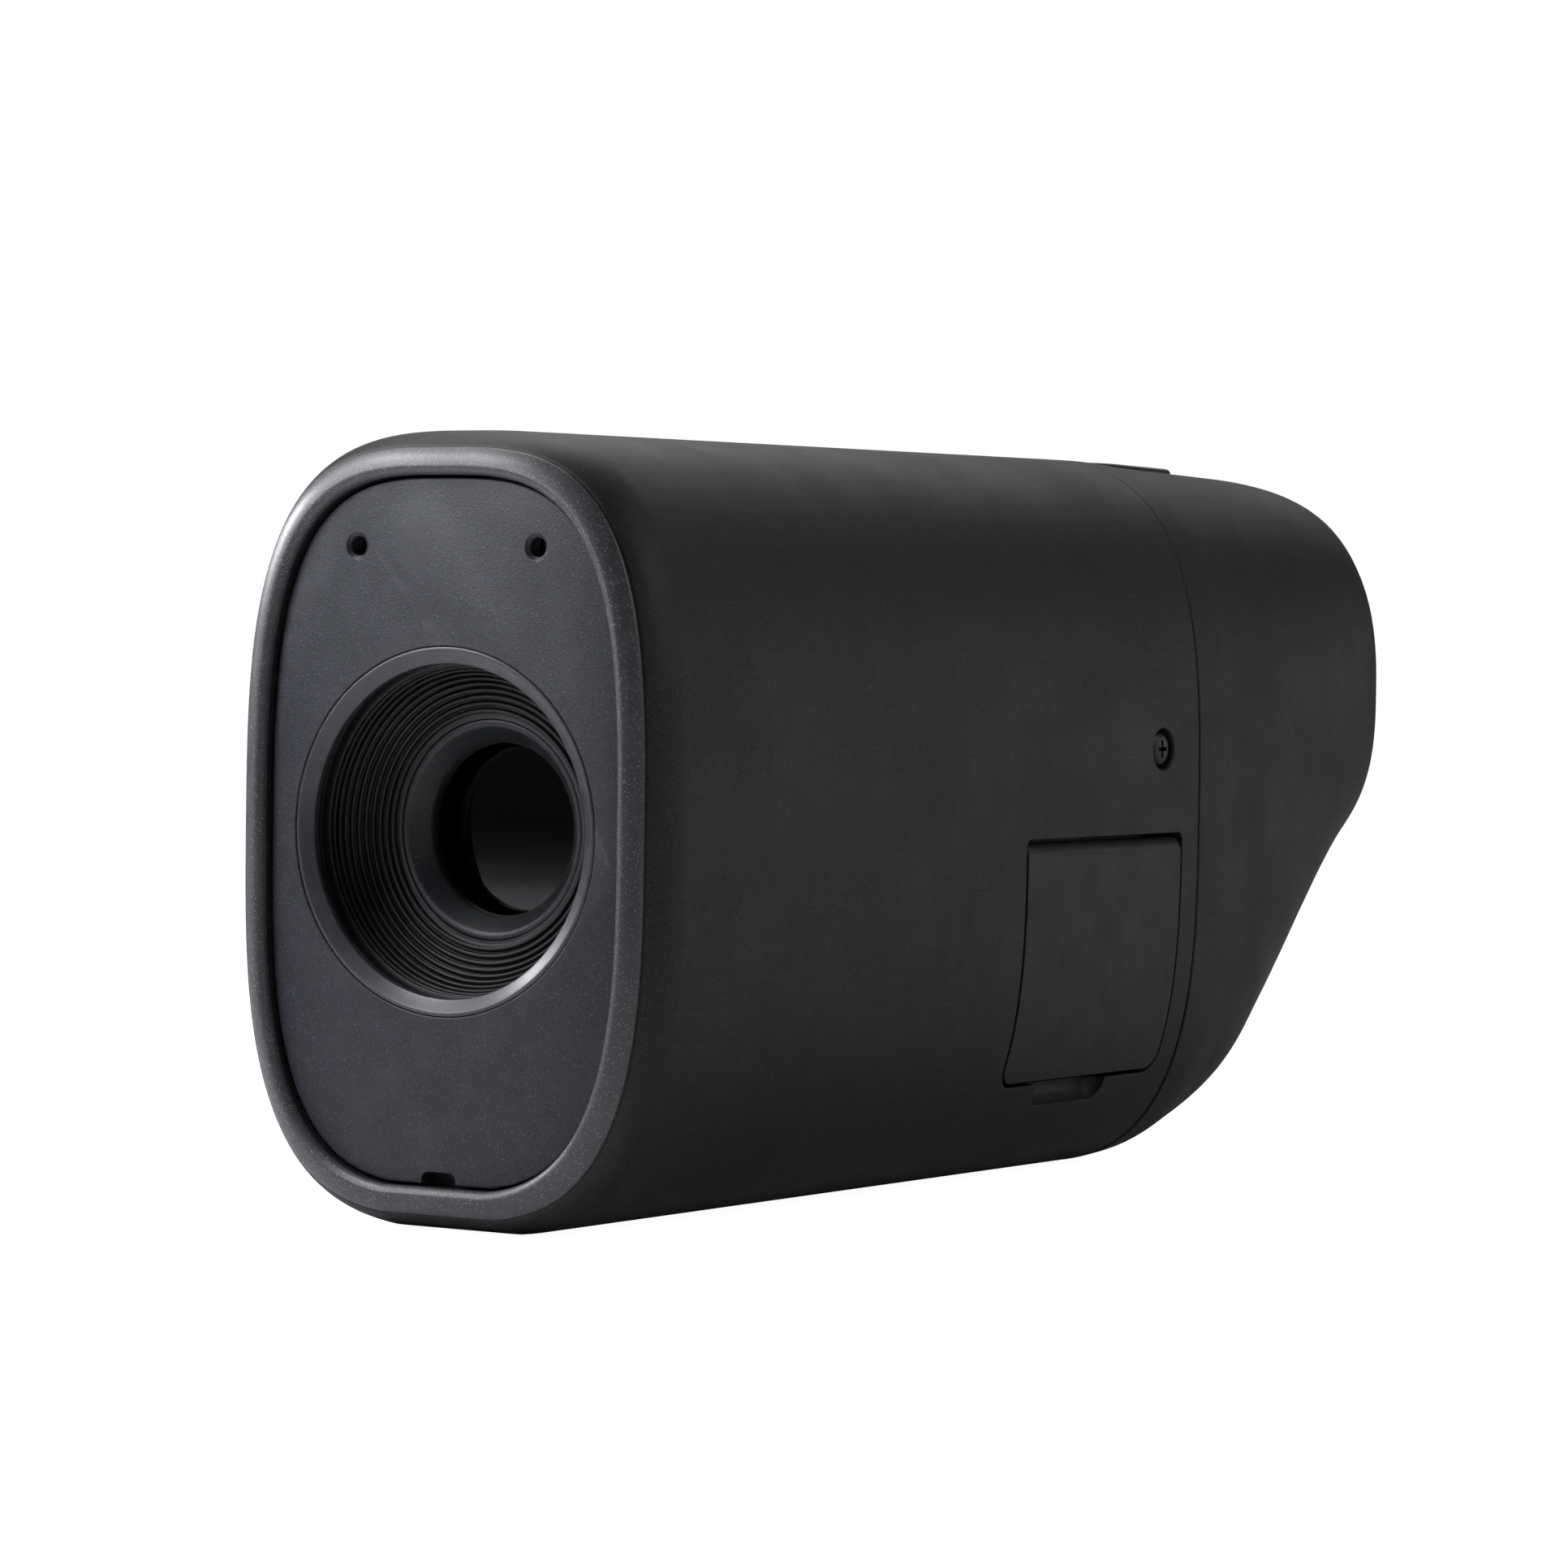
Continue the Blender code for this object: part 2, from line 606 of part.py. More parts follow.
def rear_housing():
    spigot_y = SEAM_Y - SPIGOT_LENGTH
    outer = WALL + GAP
    inner = outer + SPIGOT_WALL
    start_y = SEAM_Y + GAP
    rings = [body_ring(inner, spigot_y), body_ring(outer, spigot_y), body_ring(outer, start_y)]
    for row in REAR_SECTIONS:
        y = SEAM_Y + row[0] * (REAR_FACE_Y - SEAM_Y)
        rings.append(rear_ring(row[0], max(y, start_y)))
    opening = (EYECUP_HALF_WIDTH + GAP, EYECUP_HALF_HEIGHT + GAP)
    rings.append(rear_ring(1.0, REAR_FACE_Y))
    rings.append(ellipse_ring(*opening, REAR_FACE_Y, EYE_Z))
    rings.append(ellipse_ring(*opening, REAR_INNER_Y, EYE_Z))
    rings.append(rear_ring(rear_share(REAR_INNER_Y), REAR_INNER_Y, WALL))
    for row in REAR_SECTIONS[::-2]:
        y = SEAM_Y + row[0] * (REAR_FACE_Y - SEAM_Y)
        if start_y + WALL < y < REAR_INNER_Y - WALL:
            rings.append(rear_ring(row[0], y, WALL))
    rings.append(rear_ring(rear_share(start_y + WALL), start_y + WALL, inner))
    housing = loft("rear_housing", rings, "shell", ring_closed=True)
    for side in (1, -1):
        join(housing, screw_tab(side))
    join(housing, strap_block())
    for side in (1, -1):
        shank = screw_bore(side, SCREW_SHANK_RADIUS + SEAT, 2 * SCREW_LENGTH, "tab_bore")
        cut(housing, shank)
    cut(housing, strap_pocket())
    cut(housing, strap_pin("strap_bar_bore", STRAP_BAR_RADIUS + RUNNING, SEAT))
    cut(housing, zoom_prism("zoom_button_opening", GAP, WALL, 3 * WALL))
    cut(housing, dioptre_slot())
    cut(housing, sensor_window("sensor_window_opening", SEAT, WALL))
    return housing


def screw_tab(side):
    z = AXIS_Z + SCREW_RISE
    outer = body_half_width(z + TAB_HALF_HEIGHT, WALL) - TAB_FROM_WALL
    low_y = SEAM_Y - SCREW_FROM_SEAM - TAB_LENGTH / 2
    xs = sorted((side * outer, side * (outer - TAB_THICKNESS)))
    low = (xs[0], low_y, z - TAB_HALF_HEIGHT)
    high = (xs[1], SEAM_Y - SPIGOT_LENGTH + SPIGOT_WALL, z + TAB_HALF_HEIGHT)
    return box(f"screw_tab_{side}", low, high, "shell")


def front_plate():
    back_y = PLATE_Y + PLATE_THICKNESS
    plate = loft(
        "front_plate", [body_ring(PLATE_INSET, PLATE_Y), body_ring(PLATE_INSET, back_y)], "plate"
    )
    ahead = (0, PLATE_Y - GAP, AXIS_Z)
    behind = (0, back_y + GAP, AXIS_Z)
    cut(plate, rod("lens_hole", ahead, behind, TRIM_RADIUS + GAP, "plate", 48))
    for side in (1, -1):
        x = side * MIC_SPACING / 2
        z = BODY_HEIGHT - MIC_DROP
        start = (x, PLATE_Y - GAP, z)
        end = (x, back_y + GAP, z)
        cut(plate, rod(f"mic_hole_{side}", start, end, MIC_HOLE_RADIUS, "plate", 12))
    low = (-NOTCH_WIDTH / 2, PLATE_Y - GAP, PLATE_INSET - NOTCH_HEIGHT)
    high = (NOTCH_WIDTH / 2, back_y + GAP, PLATE_INSET + NOTCH_HEIGHT)
    cut(plate, rounded_box("plate_notch", low, high, 1, 0.3 * NOTCH_WIDTH, "plate"))
    return plate


def microphone(name, side):
    x = side * MIC_SPACING / 2
    z = BODY_HEIGHT - MIC_DROP
    y = PLATE_Y + PLATE_THICKNESS + GAP
    return rod(name, (x, y, z), (x, y + MIC_LENGTH, z), MIC_RADIUS, "steel")


def microphone_board():
    y = PLATE_Y + PLATE_THICKNESS + MIC_LENGTH + 2 * GAP
    z = BODY_HEIGHT - MIC_DROP
    low = (-MIC_BOARD_WIDTH / 2, y, z - MIC_BOARD_HEIGHT / 2)
    high = (MIC_BOARD_WIDTH / 2, y + SWITCH_BOARD_THICKNESS, z + MIC_BOARD_HEIGHT / 2)
    return box("microphone_board", low, high, "board")


# Lens


def lens_trim_ring():
    back = TRIM_THICKNESS
    slope = TRIM_THICKNESS * 0.7
    profile = [
        (TRIM_RADIUS, 0.0),
        (TRIM_RADIUS - TRIM_FACE, 0.0),
        (TRIM_INNER_RADIUS, slope),
        (TRIM_INNER_RADIUS, back),
        (TRIM_RADIUS, back),
    ]
    return turned("lens_trim_ring", profile, (0, PLATE_Y, AXIS_Z), (0, 1, 0), "plate", 48)


def baffle_hood():
    depth = HOOD_BACK_Y - HOOD_Y
    step_in = (TRIM_INNER_RADIUS - HOOD_REAR_RADIUS) / (HOOD_RIBS - 1)
    profile = []
    for rib in range(HOOD_RIBS):
        radius = TRIM_INNER_RADIUS - rib * step_in
        profile.append((radius, depth * rib / HOOD_RIBS))
        profile.append((radius, depth * (rib + 1) / HOOD_RIBS))
    profile += [(TRIM_RADIUS, depth), (TRIM_RADIUS, 0.0)]
    return turned("baffle_hood", profile, (0, HOOD_Y, AXIS_Z), (0, 1, 0), "black", 24)


def lens_cell():
    nose = HOOD_REAR_RADIUS - GAP
    bore = FRONT_LENS_RADIUS + GAP
    ahead = HOOD_BACK_Y - CELL_Y
    seat = ahead + 2 * CELL_SEAT - LIP_DROP
    profile = [
        (nose, ahead + LIP_DROP),
        (nose - LIP_DROP, ahead),
        (CELL_APERTURE, ahead + CELL_SEAT),
        (CELL_APERTURE, seat),
        (bore, seat),
        (bore, CELL_LENGTH),
        (bore + CELL_WALL, CELL_LENGTH),
        (bore + CELL_WALL, BULKHEAD),
        (BARREL_BORE - GAP, BULKHEAD),
        (BARREL_BORE - GAP, 0.0),
        (nose, 0.0),
    ]
    return turned("lens_cell", profile, (0, CELL_Y, AXIS_Z), (0, 1, 0), "black", 24)


def lens_profile(radius, edge, sag, steps=3):
    """A lens bulging on both faces, its front pole at 0 and its rim half way back."""
    front = []
    for step in range(steps + 1):
        share = step / steps
        front.append((radius * share, sag * share * share))
    back = [(r, 2 * sag + edge - along) for r, along in reversed(front)]
    return front + back


def front_lens():
    y = CELL_Y + CELL_LENGTH - FRONT_LENS_EDGE - 2 * FRONT_LENS_SAG - GAP
    profile = lens_profile(FRONT_LENS_RADIUS, FRONT_LENS_EDGE, FRONT_LENS_SAG)
    return turned("front_lens", profile, (0, y, AXIS_Z), (0, 1, 0), "glass")


def base_ring_y():
    return SENSOR_Y - BASE_RING_START


def lens_barrel():
    length = SENSOR_Y - BARREL_Y
    ring = base_ring_y() - BARREL_Y
    ring_back = ring + BASE_RING_THICKNESS
    profile = [
        (BARREL_RADIUS, 0.0),
        (BARREL_BORE, 0.0),
        (BARREL_BORE, ring),
        (BASE_RING_BORE, ring),
        (BASE_RING_BORE, ring_back),
        (BARREL_BORE, ring_back),
        (BARREL_BORE, length - BARREL_END_WALL),
        (APERTURE_RADIUS, length - BARREL_END_WALL),
        (APERTURE_RADIUS, length),
        (BARREL_RADIUS, length),
    ]
    barrel = turned("lens_barrel", profile, (0, BARREL_Y, AXIS_Z), (0, 1, 0), "black")
    end_wall_y = SENSOR_Y - BARREL_END_WALL
    for side in (1, -1):
        x = side * SCREW_OFFSET
        start = (x, end_wall_y - GAP, AXIS_Z)
        end = (x, SENSOR_Y + GAP, AXIS_Z)
        cut(barrel, rod(f"end_bore_{side}", start, end, SCREW_RADIUS + GAP, "black", 12))
        z = AXIS_Z + side * ROD_OFFSET
        start = (0, base_ring_y() - GAP, z)
        end = (0, base_ring_y() + BASE_RING_THICKNESS + GAP, z)
        cut(barrel, rod(f"rod_bore_{side}", start, end, ROD_RADIUS + RUNNING, "black", 12))
    start = (-SCREW_OFFSET, base_ring_y() - GAP, AXIS_Z)
    end = (-SCREW_OFFSET, base_ring_y() + BASE_RING_THICKNESS + GAP, AXIS_Z)
    cut(barrel, rod("screw_pass", start, end, SCREW_RADIUS + GAP, "black", 12))
    return barrel


def guide_rod(name, side):
    z = AXIS_Z + side * ROD_OFFSET
    start = (0, CELL_Y + BULKHEAD + GAP, z)
    end = (0, SENSOR_Y - BARREL_END_WALL - GAP, z)
    return rod(name, start, end, ROD_RADIUS, "steel", 12)


def carriage(name, y, length, nut_side):
    """A lens carriage: a ring with two ears on the guide rods and a nut on its own screw."""
    inner = CARRIAGE_BORE
    profile = [(CARRIAGE_RADIUS, 0.0), (inner, 0.0), (inner, length), (CARRIAGE_RADIUS, length)]
    ring = turned(name, profile, (0, y, AXIS_Z), (0, 1, 0), "black")
    reach = BARREL_BORE - EAR_CLEARANCE
    root = CARRIAGE_RADIUS - 2 * GAP
    half = EAR_HALF_WIDTH
    for side in (1, -1):
        zs = sorted((AXIS_Z + side * root, AXIS_Z + side * reach))
        low = (-half, y, zs[0])
        high = (half, y + length, zs[1])
        join(ring, box(f"{name}_ear_{side}", low, high, "black"))
    xs = sorted((nut_side * root, nut_side * reach))
    low = (xs[0], y, AXIS_Z - half)
    high = (xs[1], y + length, AXIS_Z + half)
    join(ring, box(f"{name}_nut", low, high, "black"))
    bore = ROD_RADIUS + RUNNING
    for side in (1, -1):
        z = AXIS_Z + side * ROD_OFFSET
        bore_start = (0, y - GAP, z)
        bore_end = (0, y + length + GAP, z)
        cut(ring, rod(f"{name}_rod_bore_{side}", bore_start, bore_end, bore, "black", 12))
    bore_start = (nut_side * SCREW_OFFSET, y - GAP, AXIS_Z)
    bore_end = (nut_side * SCREW_OFFSET, y + length + GAP, AXIS_Z)
    cut(ring, rod(f"{name}_nut_bore", bore_start, bore_end, SCREW_RADIUS + RUNNING, "black", 12))
    return ring


def carriage_lens(name, y, length):
    thickness = LENS_EDGE + 2 * LENS_SAG
    start = y + (length - thickness) / 2
    profile = lens_profile(CARRIAGE_BORE - GAP, LENS_EDGE, LENS_SAG)
    return turned(name, profile, (0, start, AXIS_Z), (0, 1, 0), "glass", 24)


def lead_screw(name, side, start_y):
    x = side * SCREW_OFFSET
    end_y = SENSOR_Y + MOTOR_SOCKET
    origin = (x, SENSOR_Y, AXIS_Z)
    start = (x, start_y, AXIS_Z)
    return rod(name, start, (x, end_y, AXIS_Z), SCREW_RADIUS, "steel", 12, origin)


def motor(name, side):
    x = side * SCREW_OFFSET
    front = (x, SENSOR_Y + GAP, AXIS_Z)
    back = (x, SENSOR_Y + GAP + MOTOR_LENGTH, AXIS_Z)
    body = rod(name, front, back, MOTOR_RADIUS, "steel", 24)
    bore_start = (x, SENSOR_Y, AXIS_Z)
    bore_end = (x, SENSOR_Y + MOTOR_SOCKET + GAP, AXIS_Z)
    return cut(body, rod(f"{name}_bore", bore_start, bore_end, SCREW_RADIUS + GAP, "steel", 12))


def stabilizer_y():
    return base_ring_y() + BASE_RING_THICKNESS + GAP


def stabilizer_frame():
    y = stabilizer_y()
    front = (0, y, AXIS_Z)
    back = (0, y + STABILIZER_THICKNESS, AXIS_Z)
    frame = rod("stabilizer_frame", front, back, STABILIZER_RADIUS, "chassis", 32)
    half = STABILIZER_WINDOW
    low = (-half, y - GAP, AXIS_Z - half)
    high = (half, y + STABILIZER_THICKNESS + GAP, AXIS_Z + half)
    return cut(frame, rounded_box("stabilizer_gap", low, high, 1, 0.3 * half, "chassis"))


def holder_half():
    return STABILIZER_WINDOW - STABILIZER_TRAVEL - GAP


def stabilizer_lens_radius():
    return holder_half() - STABILIZER_HOLDER_WALL


def stabilizer_holder():
    y = stabilizer_y()
    half = holder_half()
    low = (-half, y, AXIS_Z - half)
    high = (half, y + STABILIZER_THICKNESS, AXIS_Z + half)
    holder = rounded_box("stabilizer_holder", low, high, 1, 0.3 * half, "black")
    front = (0, y - GAP, AXIS_Z)
    back = (0, y + STABILIZER_THICKNESS + GAP, AXIS_Z)
    bore = stabilizer_lens_radius() + SEAT
    return cut(holder, rod("holder_bore", front, back, bore, "black", 24))


def stabilizer_lens():
    thickness = STABILIZER_THICKNESS
    profile = lens_profile(stabilizer_lens_radius(), thickness * 0.6, thickness * 0.2)
    y = stabilizer_y()
    return turned("stabilizer_lens", profile, (0, y, AXIS_Z), (0, 1, 0), "glass", 24)


def centred_block(name, size, y, z, finish):
    """A block of a size (X, Y, Z), centred on X = 0 and on a height, starting at a Y."""
    low = (-size[0] / 2, y, z - size[2] / 2)
    high = (size[0] / 2, y + size[1], z + size[2] / 2)
    return box(name, low, high, finish)


def sensor_stack():
    y = SENSOR_Y + GAP
    centred_block("sensor_cover_glass", COVER_GLASS, y, AXIS_Z, "glass")
    y += COVER_GLASS[1] + GAP
    centred_block("image_sensor", SENSOR, y, AXIS_Z, "black")
    y += SENSOR[1] + GAP
    centred_block("sensor_board", SENSOR_BOARD, y, AXIS_Z, "board")


# Chassis, boards and battery


def chassis():
    front_y = FRONT_Y + FRONT_BULKHEAD_START
    mid_y = MID_BULKHEAD_Y
    inset = WALL + GAP
    rings = [body_ring(inset, front_y), body_ring(inset, front_y + BULKHEAD)]
    frame = loft("chassis", rings, "chassis")
    rings = [body_ring(inset, mid_y), body_ring(inset, mid_y + BULKHEAD)]
    join(frame, loft("mid_bulkhead", rings, "chassis"))
    deck_top = DECK_Z + DECK_THICKNESS
    middle = BULKHEAD / 2
    deck_end = SENSOR_Y + DECK_OVERHANG
    low = (-DECK_HALF_WIDTH, front_y + middle, DECK_Z)
    join(frame, box("deck", low, (DECK_HALF_WIDTH, deck_end, deck_top), "chassis"))
    low = (-TRAY_HALF_WIDTH, front_y + middle, TRAY_HEIGHT)
    high = (TRAY_HALF_WIDTH, mid_y + middle, TRAY_HEIGHT + TRAY_THICKNESS)
    join(frame, box("tray", low, high, "chassis"))
    leg_y = SENSOR_Y + LEG_START
    low = (-LEG_X - LEG_THICKNESS, leg_y, CONNECTOR_BOARD_Z - GAP)
    high = (-LEG_X, leg_y + LEG_DEPTH, deck_top)
    join(frame, box("leg", low, high, "chassis"))
    low = (-LEG_X - LEG_THICKNESS / 2, leg_y, DECK_Z)
    high = (-DECK_HALF_WIDTH + middle, leg_y + LEG_DEPTH, deck_top)
    join(frame, box("leg_shelf", low, high, "chassis"))
    low = (-BODY_WIDTH, FRONT_Y, deck_top)
    cut(frame, box("above_deck", low, (BODY_WIDTH, mid_y + BULKHEAD + GAP, BODY_HEIGHT), "chassis"))
    for place in POST_PLACES:
        y = SENSOR_Y + place
        start = (0, y, DECK_Z + DECK_THICKNESS / 2)
        end = (0, y, TOP_BOARD_Z - GAP)
        join(frame, rod(f"post_{y:.3f}", start, end, POST_RADIUS, "chassis", 12))
    start = (0, FRONT_Y, AXIS_Z)
    end = (0, mid_y + BULKHEAD + GAP, AXIS_Z)
    return cut(frame, rod("barrel_bore", start, end, BARREL_RADIUS + GAP, "chassis", 40))


def main_board():
    low = (-MAIN_BOARD_HALF_WIDTH, FRONT_Y + FRONT_BULKHEAD_START + BULKHEAD, MAIN_BOARD_Z)
    high = (MAIN_BOARD_HALF_WIDTH, SENSOR_Y, MAIN_BOARD_Z + BOARD_THICKNESS)
    return box("main_board", low, high, "board")


def processor_shield():
    y = FRONT_Y + SHIELD_START
    z = MAIN_BOARD_Z + BOARD_THICKNESS + GAP
    low = (-SHIELD_HALF_WIDTH, y, z)
    high = (SHIELD_HALF_WIDTH, y + SHIELD_LENGTH, z + SHIELD_HEIGHT)
    return rounded_box("processor_shield", low, high, 2, SHIELD_HEIGHT / 2, "steel")


def battery():
    front_y = FRONT_Y + FRONT_BULKHEAD_START + BULKHEAD + GAP
    back_y = MID_BULKHEAD_Y - GAP
    low = (-BATTERY_HALF_WIDTH, front_y, TRAY_HEIGHT + TRAY_THICKNESS + GAP)
    high = (BATTERY_HALF_WIDTH, back_y, AXIS_Z - BARREL_RADIUS - BATTERY_CLEARANCE)
    return rounded_box("battery", low, high, 1, BATTERY_CLEARANCE, "battery", segments=3)


# Ports and their door


def door_outline(name, grow):
    """The door's outline as a prism, grown by a gap; its hinge edge keeps square corners."""
    low = (BODY_WIDTH / 4, DOOR_Y - grow, DOOR_BOTTOM - grow)
    high = (BODY_WIDTH, DOOR_Y + DOOR_LENGTH + grow, DOOR_TOP + grow)
    corner = DOOR_CORNER + grow
    return rounded_box(name, low, high, 0, corner, "shell", below=DOOR_TOP - DOOR_CORNER)


def hinge_axis():
    z = DOOR_TOP - KNUCKLE_RADIUS
    return body_half_width(z) - KNUCKLE_RADIUS, z


def hinge_line(past):
    """The hinge axis from before the door's front edge to behind its rear edge."""
    x, z = hinge_axis()
    return (x, DOOR_Y - GAP - past, z), (x, DOOR_Y + DOOR_LENGTH + GAP + past, z)


def door_nail_recess():
    x = body_half_width(DOOR_BOTTOM)
    y = DOOR_Y + DOOR_LENGTH / 2
    z = DOOR_BOTTOM - GAP - NAIL_REACH + NAIL_RADIUS
    half = NAIL_LENGTH / 2
    return rod("nail_recess", (x, y - half, z), (x, y + half, z), NAIL_RADIUS, "shell", 16)


def port_door():
    x, z = hinge_axis()
    middle_y = DOOR_Y + DOOR_LENGTH / 2
    before = DOOR_Y - DOOR_CORNER
    behind = DOOR_Y + DOOR_LENGTH + DOOR_CORNER
    rings = [body_ring(0, before), body_ring(0, behind)]
    rings += [body_ring(DOOR_THICKNESS, behind), body_ring(DOOR_THICKNESS, before)]
    door = loft("port_door", rings, "shell", ring_closed=True)
    shift = Matrix.Translation((-x, -middle_y, -z))
    door.data.transform(shift)
    door.location = (x, middle_y, z)
    keep_inside(door, door_outline("door_blank", 0.0))
    low = (x - KNUCKLE_RADIUS * 2, before, z)
    high = (BODY_WIDTH, behind, DOOR_TOP + DOOR_CORNER)
    cut(door, box("door_top_trim", low, high, "shell"))
    start = (x, DOOR_Y, z)
    end = (x, DOOR_Y + DOOR_LENGTH, z)
    join(door, rod("door_knuckle", start, end, KNUCKLE_RADIUS, "shell", 20))
    start, end = hinge_line(GAP)
    return cut(door, rod("door_bore", start, end, HINGE_PIN_RADIUS + RUNNING, "shell", 12))


def door_hinge_pin():
    start, end = hinge_line(HINGE_PIN_END)
    return rod("door_hinge_pin", start, end, HINGE_PIN_RADIUS, "steel", 12)


def port_bezel():
    """The curved inner panel behind the door, with a hole for each socket."""
    near = WALL + GAP
    far = near + BEZEL_THICKNESS
    low_y = DOOR_Y - BEZEL_BORDER
    high_y = SEAM_Y - SPIGOT_LENGTH - GAP
    before = low_y - BEZEL_BORDER
    behind = high_y + BEZEL_BORDER
    rings = [body_ring(near, before), body_ring(near, behind)]
    rings += [body_ring(far, behind), body_ring(far, before)]
    bezel = loft("port_bezel", rings, "black", ring_closed=True)
    low = (BODY_WIDTH / 4, low_y, DOOR_BOTTOM - BEZEL_BORDER)
    high = (BODY_WIDTH, high_y, DOOR_TOP + BEZEL_BORDER)
    keep_inside(bezel, box("bezel_blank", low, high, "black"))
    for name, y, z, width, height in PORT_HOLES:
        low = (BODY_WIDTH / 4, y - GAP, z - GAP)
        high = (BODY_WIDTH, y + width + GAP, z + height + GAP)
        cut(bezel, box(f"{name}_hole", low, high, "black"))
    return bezel


USB_Z = CONNECTOR_BOARD_Z - GAP - USB_HEIGHT
CARD_Z = CONNECTOR_BOARD_Z + BOARD_THICKNESS + GAP
PORT_HOLES = (
    ("usb", SENSOR_Y + USB_START, USB_Z, USB_WIDTH, USB_HEIGHT),
    ("card", SENSOR_Y + CARD_START, CARD_Z, CARD_WIDTH, CARD_HEIGHT),
)


def port_face(z):
    """How far out a socket may reach at a height: just under the bezel's outer face."""
    return body_half_width(z, WALL + GAP) - PORT_STANDOFF


def connector_board():
    inner = body_half_width(CONNECTOR_BOARD_Z, WALL + 2 * GAP + BEZEL_THICKNESS)
    low = (-LEG_X + GAP, SENSOR_Y + 2 * GAP, CONNECTOR_BOARD_Z)
    high = (inner, SENSOR_Y + CONNECTOR_BOARD_DEPTH, CONNECTOR_BOARD_Z + BOARD_THICKNESS)
    return box("connector_board", low, high, "board")


def usb_socket():
    face = port_face(USB_Z)
    y = SENSOR_Y + USB_START
    low = (face - USB_DEPTH, y, USB_Z)
    high = (face, y + USB_WIDTH, USB_Z + USB_HEIGHT)
    socket = rounded_box("usb_socket", low, high, 0, 0.4 * USB_HEIGHT, "steel")
    inset = USB_SHELL
    low = (face - USB_MOUTH_DEPTH, y + inset, USB_Z + inset)
    high = (face + GAP, y + USB_WIDTH - inset, USB_Z + USB_HEIGHT - inset)
    radius = 0.4 * (USB_HEIGHT - 2 * inset)
    cut(socket, rounded_box("usb_mouth", low, high, 0, radius, "steel"))
    middle = USB_Z + USB_HEIGHT / 2
    low = (face - USB_MOUTH_DEPTH - inset, y + 3 * inset, middle - inset)
    high = (face - inset, y + USB_WIDTH - 3 * inset, middle + inset)
    return join(socket, box("usb_tongue", low, high, "black"))


def card_socket():
    face = port_face(CARD_Z)
    y = SENSOR_Y + CARD_START
    low = (face - CARD_DEPTH, y, CARD_Z)
    high = (face, y + CARD_WIDTH, CARD_Z + CARD_HEIGHT)
    socket = box("card_socket", low, high, "steel")
    inset = USB_SHELL
    low = (face - CARD_DEPTH + inset, y + inset, CARD_Z + inset)
    high = (face + GAP, y + CARD_WIDTH - inset, CARD_Z + CARD_HEIGHT - inset)
    return cut(socket, box("card_mouth", low, high, "steel"))


# Buttons and switches

ROUND_BUTTONS = (
    ("power_button", SEAM_Y - POWER_FROM_SEAM, 1),
    ("menu_button", SEAM_Y - MENU_FROM_SEAM, 1),
    ("photo_button", SEAM_Y - PHOTO_FROM_SEAM, -1),
    ("video_button", SEAM_Y - VIDEO_FROM_SEAM, -1),
)


def round_button(name, y, outward):
    """A cap in the housing's hole, a flange that keeps it in, and a stem over its switch."""
    flange_top = -WALL - GAP
    flange_bottom = flange_top - FLANGE_HEIGHT
    profile = [
        (0.0, -BUTTON_SINK),
        (BUTTON_RADIUS - BUTTON_SINK, -BUTTON_SINK),
        (BUTTON_RADIUS, -2 * BUTTON_SINK),
        (BUTTON_RADIUS, flange_top),
        (BUTTON_FLANGE, flange_top),
        (BUTTON_FLANGE, flange_bottom),
        (STEM_RADIUS, flange_bottom),
        (STEM_RADIUS, -STEM_END),
        (0.0, -STEM_END),
    ]
    surface = BODY_HEIGHT if outward > 0 else 0.0
    return turned(name, profile, (0, y, surface), (0, 0, outward), "shell", 24)


def zoom_middle():
    return SEAM_Y + ZOOM_BUTTON_START + ZOOM_BUTTON_LENGTH / 2


def zoom_prism(name, grow, above, below):
    """The zoom button's outline, upright, from above its top to below it."""
    half = ZOOM_BUTTON_HALF_WIDTH + grow
    y = zoom_middle()
    run = ZOOM_BUTTON_LENGTH / 2 + grow
    low = (-half, y - run, BODY_HEIGHT - below)
    high = (half, y + run, BODY_HEIGHT + above)
    return rounded_box(name, low, high, 2, 0.8 * half, "shell", segments=6)


def zoom_button():
    y = zoom_middle()
    button = zoom_prism("zoom_button", 0.0, WALL, ZOOM_BUTTON_HEIGHT + ZOOM_BUTTON_TOP)
    low = (-BODY_WIDTH, -BODY_WIDTH, 0)
    high = (BODY_WIDTH, BODY_WIDTH, BODY_WIDTH)
    trim = box("zoom_button_trim", low, high, "shell")
    trim.location = (0, y, BODY_HEIGHT - ZOOM_BUTTON_TOP)
    trim.rotation_euler = (-ZOOM_BUTTON_TILT, 0, 0)
    cut(button, trim)
    flange_top = BODY_HEIGHT - ZOOM_BUTTON_TOP - ZOOM_BUTTON_HEIGHT + GAP
    flange_low = BODY_HEIGHT - ZOOM_BUTTON_TOP - ZOOM_BUTTON_HEIGHT - FLANGE_HEIGHT
    rim = BUTTON_FLANGE - BUTTON_RADIUS
    half = ZOOM_BUTTON_HALF_WIDTH + rim
    run = ZOOM_BUTTON_LENGTH / 2 + rim
    low = (-half, y - run, flange_low)
    high = (half, y + run, flange_top)
    join(button, rounded_box("zoom_flange", low, high, 2, 0.8 * half, "shell", segments=5))
    start = (0, y, BODY_HEIGHT - STEM_END)
    end = (0, y, flange_low + GAP)
    return join(button, rod("zoom_stem", start, end, STEM_RADIUS, "shell", 12))


def switch(name, y, z):
    half = SWITCH_SIZE / 2
    low = (-half, y - half, z)
    high = (half, y + half, z + SWITCH_HEIGHT)
    return rounded_box(name, low, high, 2, 0.2 * half, "steel", segments=2)


